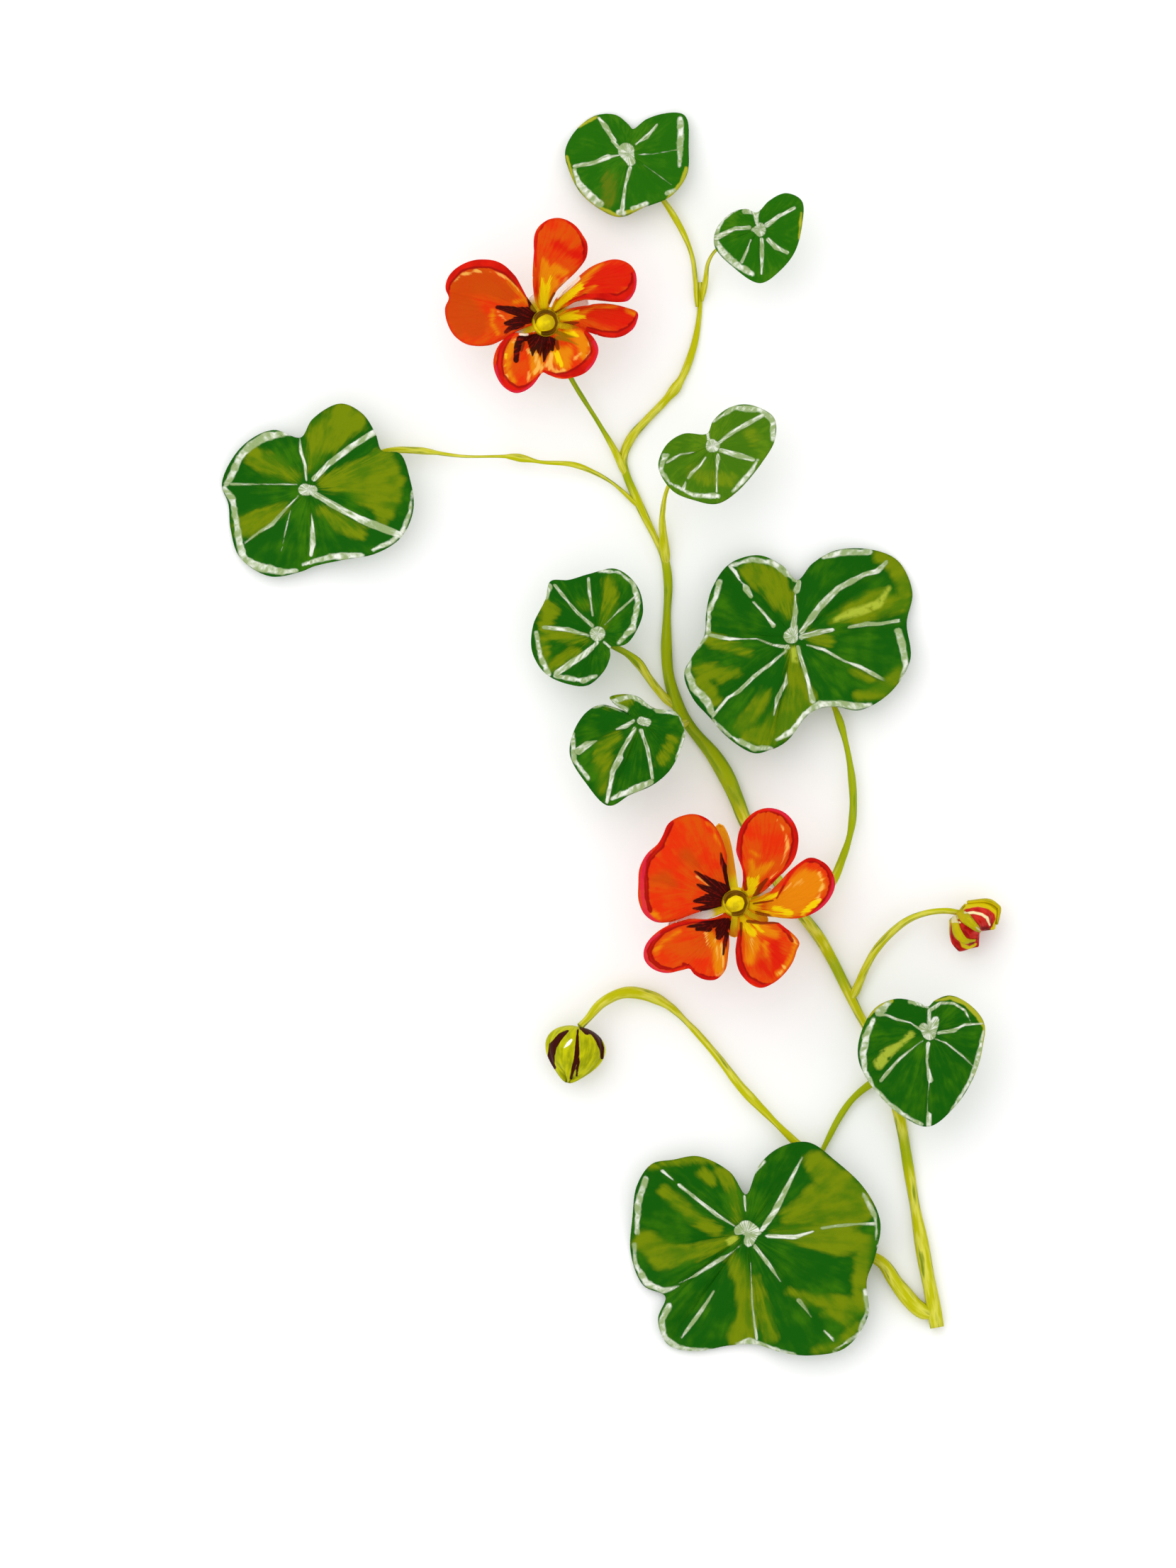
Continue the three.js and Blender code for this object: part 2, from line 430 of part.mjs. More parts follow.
// The cup under the petals, solid but for its dished top, turned about the flower's axis.
function cupSolid(extra = 0) {
  const profile = [[0, -CUP_DEPTH], [1.3, -CUP_DEPTH], [1.6, -6.4], [2.5, -4.2], [CUP_RADIUS, -1.7],
    [CUP_RADIUS, -0.75], [0, -0.75]];
  const points = profile.map(([x, y], i) => new THREE.Vector2(x ? x + extra : 0, y + (i < 2 ? -extra : 0)));
  const lathe = new THREE.LatheGeometry(points, 12).rotateX(Math.PI / 2);
  return manifoldOf(lathe);
}

// The hollow spur behind the flower, here closed at its tip.
function spurSolid(degrees) {
  const route = [[1, 0, -3], [4, 0, -4.6], [8.5, 0, -7.2], [13.5, 0, -10.6], [SPUR_REACH, 0, -14.6]];
  const points = route.map((p) => new THREE.Vector3(...p).applyAxisAngle(UP, radians(degrees)));
  const curve = new THREE.CatmullRomCurve3(points);
  return tube(curve, (share) => mix(SPUR_RADIUS, 0.55, share ** 0.8), STEM_SIDES);
}

function calyxSolid(flower) {
  const sepals = flower.sepals.map(([degrees, reach]) => sepalSolid(degrees, reach));
  return union([cupSolid(), spurSolid(flower.spurDirection), ...sepals]);
}

// The round seed case, standing in a low collar, turned about the flower's axis.
function centreSolid() {
  const ball = [[2.3, 0.9], [CENTRE_RADIUS, 1.5], [2.35, 2.4], [1.5, 3.4], [0, 3.95]];
  const profile = [[0, -0.4], [2.7, -0.4], [COLLAR_RADIUS, 0.3], [3, 1], ...ball];
  const points = profile.map(([x, y]) => new THREE.Vector2(x, y));
  return manifoldOf(new THREE.LatheGeometry(points, 16).rotateX(Math.PI / 2));
}

// ---------------------------------------------------------------- buds

// A point of a bud's skin: share runs from its base to its tip, turn goes round it from the top.
function budPoint(bud, share, turn, radiusAt, forwardAt = () => 0) {
  const along = new THREE.Vector3(Math.cos(radians(bud.heading)), Math.sin(radians(bud.heading)), 0);
  const sideways = new THREE.Vector3(along.y, -along.x, 0);
  const radius = radiusAt(share, turn);
  return new THREE.Vector3(...bud.base)
    .addScaledVector(along, bud.length * share + forwardAt(share, turn))
    .addScaledVector(sideways, radius * Math.sin(turn))
    .addScaledVector(UP, radius * Math.cos(turn) * bud.squash);
}

function budSolid(bud, radiusAt, forwardAt, rows, columns, extra = 0) {
  const ends = [-extra / bud.length, 1 + extra / bud.length];
  const sections = Array.from({ length: rows }, (_, i) =>
    Array.from({ length: columns }, (__, k) =>
      budPoint(bud, mix(...ends, i / (rows - 1)), (k / columns) * 2 * Math.PI, radiusAt, forwardAt)));
  return manifoldOf(new LoftGeometry(sections, { closed: true, capStart: true, capEnd: true }));
}

// 1 on a seam between two sepals, falling to 0 beside it. A seam runs along the top of the bud.
function seamAt(turn) {
  const place = (turn / (2 * Math.PI)) * SEPAL_COUNT;
  const away = Math.abs(place - Math.round(place));
  return 1 - smooth(away, 0, 0.22);
}

const roundProfile = (share) => Math.sin(Math.PI * mix(0.05, 0.965, share) ** 0.75) ** 0.6;

function closedBudSolid(bud, extra = 0) {
  const radiusAt = (share, turn) =>
    extra + bud.radius * roundProfile(share) * (1 - SEAM_DEPTH * seamAt(turn) * smooth(share, 0, 0.3));
  const forwardAt = (share, turn) => 0.9 * smooth(share, 0.7, 1) * Math.cos(SEPAL_COUNT * turn);
  return budSolid(bud, radiusAt, forwardAt, 10, 25, extra);
}

// The crumpled petals inside an opening bud. Their sides reach further forward than their middle.
const openProfile = (share) =>
  (0.3 + 0.7 * Math.sin((Math.PI / 2) * smooth(share, -0.25, 0.75))) * (1 - 0.6 * smooth(share, 0.72, 1.05));
const crumpledRadius = (bud) => (share, turn) =>
  bud.radius * openProfile(share) * (1 + 0.06 * Math.cos(9 * turn) * smooth(share, 0.1, 0.5));
const crumpledForward = (share, turn) => 2.2 * share ** 2 * Math.sin(turn) ** 2;

// A narrow sepal that clasps the bud, its inner face sunk under the petals' skin.
function budStrap(bud, middleTurn, extra) {
  const radius = crumpledRadius(bud);
  const rows = 7;
  const columns = 3;
  const face = (height) => {
    const points = [];
    for (let i = 0; i < rows; i++)
      for (let j = 0; j < columns; j++) {
        const beyond = i === rows - 1 ? extra : i === 0 ? -extra : 0;
        const share = mix(-0.05, 0.9, i / (rows - 1)) + beyond / bud.length;
        const halfTurn = mix(0.3, 0.1, smooth(share, 0, 1)) + (2.6 * extra) / bud.radius;
        const turn = middleTurn - halfTurn * (2 * (j / (columns - 1)) - 1);
        points.push(budPoint(bud, share, turn, (s, t) => radius(s, t) + height, crumpledForward));
      }
    return points;
  };
  const triangles = gridTriangles(rows, columns);
  return slab(face(BUD_STRAP_THICKNESS + extra), face(-BUD_STRAP_SINK - extra), triangles);
}

// The base that the sepals and the stalk share.
function budBase(bud, extra) {
  const base = new THREE.SphereGeometry(BUD_BASE_RADIUS + extra, 8, 5);
  return manifoldOf(base.translate(...bud.base));
}

// ---------------------------------------------------------------- the whole spray

const spray = new THREE.Group();

function addPiece(name, solid, material, parent = spray) {
  const mesh = new THREE.Mesh(geometryOf(solid), material);
  mesh.name = name;
  parent.add(mesh);
}

// What each stalk's tip is cut back by, so that it ends a hair's breadth short of what it carries.
const endings = new Map();
for (const leaf of LEAVES) {
  const height = hubHeightOf(leaf);
  addPiece(`${leaf.name}_blade`, bladeSolid(leaf, height), leaf.material);
  endings.set(leaf.name, { tip: [...leaf.hub, height], cutter: bladeSolid(leaf, height, 1.5 * CLEARANCE) });
}

for (const flower of FLOWERS) {
  const { name, at } = flower;
  const group = new THREE.Group();
  group.position.set(...at);
  spray.add(group);
  flower.petals.forEach((petal, i) => addPiece(`${name}_petal_${i + 1}`, petalSolid(petal), ORANGE, group));
  addPiece(`${name}_calyx`, calyxSolid(flower), CALYX_YELLOW, group);
  addPiece(`${name}_centre`, centreSolid(), POLLEN_YELLOW, group);
  const cutter = cupSolid(CLEARANCE).translate(...at);
  endings.set(name, { tip: [at[0], at[1], at[2] - CUP_DEPTH + 1], cutter });
}

addPiece("bud_green", closedBudSolid(BUD_GREEN_SHAPE), BUD_GREEN);
endings.set("bud_green", { tip: BUD_GREEN_SHAPE.base, cutter: closedBudSolid(BUD_GREEN_SHAPE, CLEARANCE) });

const straps = (extra) => union(BUD_STRAP_TURNS.map((turn) => budStrap(BUD_RED_SHAPE, turn, extra)));
const redPetals = budSolid(BUD_RED_SHAPE, crumpledRadius(BUD_RED_SHAPE), crumpledForward, 7, 20);
const redCalyx = straps(0).add(budBase(BUD_RED_SHAPE, 0));
const redClearance = straps(CLEARANCE).add(budBase(BUD_RED_SHAPE, CLEARANCE));
addPiece("bud_red_calyx", redCalyx, BUD_GREEN);
addPiece("bud_red_petals", largestPiece(redPetals.subtract(redClearance)), BUD_RED);
endings.set("bud_red", { tip: BUD_RED_SHAPE.base, cutter: redClearance });

// The stem and its side shoot, which the stalks' roots are cut back from.
const stemCurve = curveThrough(STEM_ROUTE);
const stemTube = (extra) => tube(stemCurve, (share) => stemCurve.getPointAt(share).z, STEM_SIDES, extra);
const shootCurve = curveThrough(SIDE_SHOOT.route);
const shootRadius = (share) => mix(...SIDE_SHOOT.radius, share);
const shootTube = (extra) => tube(shootCurve, shootRadius, STALK_SIDES, extra);
addPiece("stem", stemTube(0), STEM_GREEN);
addPiece("side_shoot", largestPiece(shootTube(0).subtract(stemTube(CLEARANCE))), STEM_GREEN);

const axes = stemTube(CLEARANCE).add(shootTube(CLEARANCE));
for (const { to, radius, route } of STALKS) {
  const { tip, cutter } = endings.get(to);
  const radiusAt = (share) => mix(...radius, share) * (1 + 0.35 * (1 - smooth(share, 0, 0.12)));
  const stalk = tube(curveThrough([...route, tip]), radiusAt, STALK_SIDES);
  addPiece(`${to}_stalk`, largestPiece(stalk.subtract(cutter).subtract(axes)), STEM_GREEN);
}

export default spray;
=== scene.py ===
# %% [markdown]
# # A cut nasturtium spray
#
# A nasturtium climbs with soft, juicy stems that have no wood in them. Once cut it lies down, so this
# spray lies on a table: a trailing stem, nine round leaves that each sit on their stalk like a
# shield, two open flowers, one closed bud and one bud that is just opening.
#
# The solids that carry its size are already made and are loaded here as a fixed frame. Each of them
# is then replaced by a finer piece of the same form, with the colours and the surface that the plant
# has. Lengths below are in millimetres, because plant parts are small, and become metres at the end.

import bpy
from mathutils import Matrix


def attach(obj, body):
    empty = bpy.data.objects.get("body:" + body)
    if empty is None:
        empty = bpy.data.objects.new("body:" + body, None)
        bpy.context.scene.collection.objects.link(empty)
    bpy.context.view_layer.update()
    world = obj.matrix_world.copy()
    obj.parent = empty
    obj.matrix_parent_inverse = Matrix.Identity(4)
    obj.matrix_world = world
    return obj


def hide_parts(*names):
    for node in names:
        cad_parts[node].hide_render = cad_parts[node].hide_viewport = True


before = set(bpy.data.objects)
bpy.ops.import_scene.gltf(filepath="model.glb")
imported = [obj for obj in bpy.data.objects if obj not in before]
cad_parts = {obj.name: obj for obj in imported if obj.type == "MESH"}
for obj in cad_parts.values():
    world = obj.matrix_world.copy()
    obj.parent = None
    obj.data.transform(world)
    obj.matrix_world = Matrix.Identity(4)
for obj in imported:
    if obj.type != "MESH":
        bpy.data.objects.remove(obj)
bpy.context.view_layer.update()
print("frame nodes:", len(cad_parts))

# %% Modules, units and small sums
import math

import bmesh
import bpy
from mathutils import Matrix, Vector

MM = 0.001
UP = Vector((0, 0, 1))


def mix(start, end, share):
    return start + (end - start) * share


def smooth(value, low, high):
    """0 at low and 1 at high, with a soft start and a soft end."""
    share = min(1.0, max(0.0, (value - low) / (high - low)))
    return share * share * (3 - 2 * share)


def polar(distance, turn, height=0):
    return Vector((distance * math.cos(turn), distance * math.sin(turn), height))


# %% [markdown]
# ## One way to shape everything: bending a grid
#
# Leaves, petals and sepals are thin sheets, and stems are sheets rolled into a tube. All of them can
# start as the same flat grid, the way a paper flower starts as paper. Blender's grid operator makes
# the vertices and faces, and one function then says where each vertex goes. Its two numbers, from 0
# to 1 across and from 0 to 1 along, stay on the piece as its UV map, so a pattern can follow it.
#
# The function can also leave marks on a vertex, such as its distance from a vein. A distance changes
# evenly between neighbours, so a thin line drawn from it stays sharp on a fairly coarse mesh.

# %% Start a mesh, bend grids into it, and make it a piece
SAME_PLACE = 1e-7  # metres


def new_sheet(*marks):
    sheet = bmesh.new()
    sheet.loops.layers.uv.new("UVMap")
    for mark in marks:
        sheet.verts.layers.float.new(mark)
    return sheet


def bend_grid(sheet, across, along, place, rolled=False):
    grid = bmesh.ops.create_grid(sheet, x_segments=across, y_segments=along, size=1, calc_uvs=True)
    verts = grid["verts"]
    for vert in verts:
        point, marks = place(vert.co.x / 2 + 0.5, vert.co.y / 2 + 0.5)
        vert.co = Vector(point) * MM
        for mark, value in marks.items():
            vert[sheet.verts.layers.float[mark]] = value
    bmesh.ops.remove_doubles(sheet, verts=verts, dist=SAME_PLACE)
    verts = [vert for vert in verts if vert.is_valid]
    if rolled:
        open_edges = {edge for vert in verts for edge in vert.link_edges if edge.is_boundary}
        bmesh.ops.holes_fill(sheet, edges=list(open_edges), sides=0)
    faces = list({face for vert in verts for face in vert.link_faces})
    if rolled:
        bmesh.ops.recalc_face_normals(sheet, faces=faces)
    else:
        bmesh.ops.reverse_faces(sheet, faces=faces)


def make_piece(name, sheet, slot, finishes, *nodes, thickness=0):
    mesh = bpy.data.meshes.new(name)
    sheet.to_mesh(mesh)
    sheet.free()
    mesh.shade_smooth()
    piece = bpy.data.objects.new(name, mesh)
    bpy.context.scene.collection.objects.link(piece)
    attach(piece, "root")
    if nodes:
        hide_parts(*nodes)
    if thickness:
        wall = piece.modifiers.new("thickness", "SOLIDIFY")
        wall.thickness = thickness * MM
        wall.offset = 0
        wall.use_even_offset = False
        wall.material_offset = 1
    for finish in finishes:
        mesh.materials.append(finish)
    return piece


# %% [markdown]
# ## Smooth curves through a few points
#
# A leaf's rim, a petal's edge and a stem's route are each given by a few points. A Catmull-Rom curve
# passes through every one of them, which is easier to steer than a Bezier curve with its handles. The
# square roots below keep it from overshooting where two points are close together.

# %% A point on the curve through a list of points
SHORTEST_STEP = 1e-4


def on_curve(points, position, closed=False):
    """Position counts the points, so 1.5 is halfway between the second and the third."""
    count = len(points)
    first = math.floor(position) if closed else min(math.floor(position), count - 2)
    share = position - first

    def corner(index):
        if closed:
            return Vector(points[index % count])
        if index < 0:
            return 2 * Vector(points[0]) - Vector(points[1])
        if index >= count:
            return 2 * Vector(points[-1]) - Vector(points[-2])
        return Vector(points[index])

    last, start, end, next_one = (corner(first + step) for step in (-1, 0, 1, 2))
    before, here, after = (max(SHORTEST_STEP, (b - a).length) ** 0.5
                           for a, b in ((last, start), (start, end), (end, next_one)))
    leaving = (start - last) / before - (end - last) / (before + here) + (end - start) / here
    arriving = (end - start) / here - (next_one - start) / (here + after) + (next_one - end) / after
    rest = 1 - share
    return (start * (1 + 2 * share) * rest**2 + here * leaving * share * rest**2
            + end * share**2 * (3 - 2 * share) - here * arriving * share**2 * rest)


# %% [markdown]
# ## Distances to brush strokes
#
# The pale veins, the dark marks in a flower's throat and the lighter patches of a leaf are all long
# shapes that swell and taper. Each is given as a stroke: a few points with the half width there. A
# vertex keeps its distance to the nearest stroke's edge, below zero inside it, and the shader decides
# how ragged that edge looks. A table of strokes is long, so it is written tightly: three whole numbers
# for a point, in tenths of a millimetre from the middle of the leaf or flower, a comma between points
# and a semicolon between strokes.

# %% Distance to the nearest stroke
FAR_AWAY = 20.0
SHORTEST_SQUARED = 1e-9


def cones_of(strokes):
    """One cone, with a half width at either end, for each step of each stroke."""
    return [(*start, *end) for line in strokes for start, end in zip(line, line[1:])]


def mark_cones(marks, names, middle):
    """The strokes of every named mark. A mark without strokes gives none."""
    def points(line):
        for point in line.split(","):
            x, y, half_width = (int(number) / 10 for number in point.split())
            yield middle[0] + x, middle[1] + y, half_width

    lines = {name: marks[name].split(";") if name in marks else [] for name in names}
    return {name: cones_of([list(points(line)) for line in lines[name]]) for name in names}


def stroke_distance(point, cones):
    x, y = point[:2]
    nearest = FAR_AWAY
    for x0, y0, width0, x1, y1, width1 in cones:
        run_x, run_y = x1 - x0, y1 - y0
        length_squared = max(SHORTEST_SQUARED, run_x**2 + run_y**2)
        share = ((x - x0) * run_x + (y - y0) * run_y) / length_squared
        share = min(1.0, max(0.0, share))
        gap = math.hypot(x - x0 - run_x * share, y - y0 - run_y * share)
        nearest = min(nearest, gap - mix(width0, width1, share))
    return nearest


def marks_at(point, cones):
    return {mark: stroke_distance(point, cones[mark]) for mark in cones}


# %% [markdown]
# ## Colour sums that read like sums
#
# A shader is a net of nodes, and a pattern needs many small sums on masks from 0 to 1. One class wraps
# a socket and turns Python's own +, -, * into Math nodes, so a mask reads like a formula. Everything
# else, such as a noise or a colour mix, comes from one method that adds any node.

# %% A signal in a shader, and the finish that holds its nodes
SPECULAR = 0.05  # soft plant tissue has hardly any gloss


class Signal:
    """A socket that sums work on. Each sum adds one Math node."""

    def __init__(self, finish, socket):
        self.finish, self.socket = finish, socket

    def _math(self, operation, first, second):
        return self.finish.add("Math", {"operation": operation}, {0: first, 1: second})

    def __add__(self, other):
        return self._math("ADD", self, other)

    def __sub__(self, other):
        return self._math("SUBTRACT", self, other)

    def __rsub__(self, other):
        return self._math("SUBTRACT", other, self)

    def __mul__(self, other):
        return self._math("MULTIPLY", self, other)

    def at_least(self, other):
        return self._math("MAXIMUM", self, other)

    def between(self, low, high):
        """0 at low and 1 at high, smooth in between. It also runs backwards."""
        settings = {"interpolation_type": "SMOOTHSTEP"}
        if low < high:
            return self.finish.add("MapRange", settings, {0: self, 1: low, 2: high})
        return self.finish.add("MapRange", settings, {0: self, 1: high, 2: low, 3: 1, 4: 0})

    __radd__ = __add__
    __rmul__ = __mul__


class Finish:
    """One material, and short words for the nodes that it needs."""

    def __init__(self, name, roughness, specular=SPECULAR):
        self.material = bpy.data.materials.new(name)
        self.material.use_nodes = True
        self.nodes = self.material.node_tree.nodes
        self.shader = self.nodes["Principled BSDF"]
        self.shader.inputs["Roughness"].default_value = roughness
        self.shader.inputs["Specular IOR Level"].default_value = specular

    def add(self, kind, settings=None, sockets=None, output=0):
        node = self.nodes.new("ShaderNode" + kind)
        for setting, value in (settings or {}).items():
            setattr(node, setting, value)
        for socket, value in (sockets or {}).items():
            if isinstance(value, Signal):
                self.material.node_tree.links.new(value.socket, node.inputs[socket])
            else:
                node.inputs[socket].default_value = value
        return Signal(self, node.outputs[output])

    def mark(self, name):
        return self.add("Attribute", {"attribute_name": name}, output="Fac")

    def place(self, source="Object"):
        return self.add("TexCoord", output=source)

    def noise(self, where, scale, stretch=(1, 1, 1), detail=3):
        """A soft noise about 0."""
        spread = self.add("Mapping", {}, {"Vector": where, "Scale": stretch})
        sockets = {"Vector": spread, "Scale": scale, "Detail": detail}
        return self.add("TexNoise", {}, sockets) - 0.5

    def fade(self, mark, ragged, empty, full):
        """0 where a mark has the value empty and 1 where it is full. The noise roughens the edge."""
        return (self.mark(mark) + ragged).between(empty, full)

    def blend(self, mask, under, over):
        """The colour under where the mask is 0, and the colour over where it is 1."""
        sockets = {0: mask, 6: under, 7: over}
        return self.add("Mix", {"data_type": "RGBA"}, sockets, output=2)

    def paint(self, colour, relief, depth):
        """The colour, and a relief whose depth is in millimetres."""
        sockets = {"Height": relief, "Strength": 1.0, "Distance": depth * MM}
        bump = self.add("Bump", {}, sockets)
        links = self.material.node_tree.links
        links.new(colour.socket, self.shader.inputs["Base Color"])
        links.new(bump.socket, self.shader.inputs["Normal"])
        return self.material


def tint(red, green, blue):
    """A colour from its screen values, 0 to 255, as the shader wants it."""
    def linear(value):
        value /= 255
        return value / 12.92 if value <= 0.04045 else ((value + 0.055) / 1.055) ** 2.4
    return (linear(red), linear(green), linear(blue), 1)


# %% [markdown]
# ## The leaves: their places and outlines
#
# A nasturtium leaf is a shield: the stalk meets it near its middle, ribs run from there to the rim,
# and one notch shows where the rim closed. Each leaf keeps the outline and the slope of its solid. A
# rim point with a third value is the end of a rib. A leaf without a height is let down until its rim
# touches the table.

# %% Leaf outlines, in millimetres
LEAVES = {
    "leaf_1": dict(hub=(4.3, 147.5), lean=(0.06, -0.3), ripple=(4, 20), rim=[
        (5.3, 153.7, 1), (4, 155), (1, 157.3), (-4, 157.2, 1), (-9, 153.5), (-11.9, 148),
        (-10.8, 143, 1), (-8, 137.5), (-3, 133.2), (2, 131.3, 1), (8, 133.7), (15, 136.7, 1),
        (19, 142), (19.4, 149, 1), (18.6, 157), (14, 157.7, 1), (9, 156.2)]),
    "leaf_2": dict(hub=(37.5, 128.2), height=16, lean=(0.22, 0.2), ripple=(3, 80), rim=[
        (36.6, 132.1, 1), (34, 133), (30, 131.9), (26.5, 128), (26.1, 123.7, 1), (31, 118.2, 1),
        (37.6, 114.3, 1), (43, 117.8), (46.3, 122.2, 1), (48.1, 129), (48, 135, 1), (44, 137),
        (40, 135.2)]),
    "leaf_3": dict(hub=(-77, 62), lean=(0.24, 0.05), ripple=(5, 0), rim=[
        (-79.2, 75.2, 1), (-86, 77.2), (-92, 74.7), (-96.5, 70), (-99.2, 63.3, 1), (-97.5, 58.5),
        (-96.9, 52), (-94.6, 44.8, 1), (-87, 40), (-79, 41.2), (-75.5, 42.6, 1), (-69, 44),
        (-60, 45.8), (-53.5, 50, 1), (-50.5, 57), (-51.5, 65), (-54, 71.1), (-58.6, 71.9),
        (-60.2, 76.2, 1), (-63.5, 81.3), (-69, 83.8), (-76, 80)]),
    "leaf_4": dict(hub=(25.6, 73), height=19, lean=(0.12, -0.12), ripple=(4, 50), rim=[
        (24.1, 76.1, 1), (18, 75.9), (13.5, 72.8), (11.8, 67.5, 1), (15.3, 61.6, 1), (21, 59.1),
        (26.5, 58.3, 1), (31.5, 61.2), (37.8, 68.5, 1), (41.2, 74.5), (40.9, 80.2, 1), (35, 83.3),
        (30, 82.7), (25.7, 79.4)]),
    "leaf_5": dict(hub=(-3.7, 25.3), height=13, lean=(0.16, 0.08), ripple=(4, 110), rim=[
        (-0.4, 21.8, 1), (3.5, 22.7), (6.3, 26.5), (7.8, 31.5, 1), (6.3, 37.5), (1, 41.7),
        (-6, 40.4, 1), (-11, 39), (-15.7, 38.6, 1), (-16.8, 34.3), (-20, 27.5, 1), (-20.3, 21),
        (-17, 15.4, 1), (-12, 12.8), (-6.5, 12.2, 1), (-2, 16), (-0.5, 19.5)]),
    "leaf_6": dict(hub=(46.2, 24.5), lean=(-0.12, -0.2), ripple=(5, 150), rim=[
        (47.1, 39, 1), (43, 42.8), (37, 45.3), (30, 43.2, 1), (25.5, 37), (23.9, 30.5),
        (23.6, 25.5, 1), (21.5, 21.3), (18.4, 15.5), (20.6, 9), (24.8, 4.2, 1), (29, -0.6),
        (36, -4.9), (40.3, -4, 1), (44.5, -1.7), (50.5, 5.4, 1), (56, 6.9), (63, 6),
        (71, 10.8, 1), (75.8, 19), (74.9, 28, 1), (76.3, 36), (72.6, 44, 1), (66, 46.8),
        (57, 46.6), (51, 43.2)]),
    "leaf_7": dict(hub=(7.6, 3), height=20, lean=(0.1, 0.28), ripple=(3, 10), rim=[
        (4.8, 4.8, 1), (-2.6, 7.2), (-6.5, 5.3), (-9.7, 0.5), (-10.7, -5.2, 1), (-6.8, -12.2),
        (-0.9, -18.3, 1), (4.5, -15.6), (10.4, -13, 1), (14.2, -9.8), (16.8, -5.5, 1), (18.5, 0),
        (16.3, 5.1, 1), (10.5, 6.4), (6.5, 9.3), (3, 9.9), (-0.6, 9)]),
    "leaf_8": dict(hub=(80.3, -75.3), height=18, lean=(-0.08, 0.16), ripple=(4, 70), rim=[
        (80.1, -69.3, 1), (77.5, -68.2), (72, -67.3), (66.7, -69.7, 1), (63, -76.5), (62.6, -83),
        (66.3, -90, 1), (74, -97.3), (80.4, -99.7, 1), (87.5, -94), (92.4, -85.6, 1),
        (94, -79.5), (94.4, -73.7, 1), (91, -69), (86, -66.5, 1), (82, -67.7)]),
    "leaf_9": dict(hub=(34.2, -127), lean=(0.12, 0.11), ripple=(5, 40), rim=[
        (34, -117.2, 1), (30, -111.5), (22, -107.4), (15.5, -108.3), (10, -109.5, 1), (6.3, -115),
        (5.2, -123), (4.8, -132, 1), (8, -140.3), (13.6, -143.2, 1), (11.7, -149),
        (14.3, -155.4, 1), (21, -157), (30, -155.5), (37, -155.4, 1), (43, -157.2), (50, -158),
        (59.3, -156, 1), (65, -148), (64.7, -139), (66.8, -132.8), (68, -124, 1), (64, -115.5),
        (56.5, -108.3), (50, -103.9, 1), (43, -105), (37.5, -109.5)]),
}

# %% [markdown]
# ## The leaves: what is painted on them
#
# The blade is a deep green that goes olive in patches between the ribs. The ribs, the spot where they
# meet and parts of the rim are pale, almost grey. They are strokes of (x, y, half width).

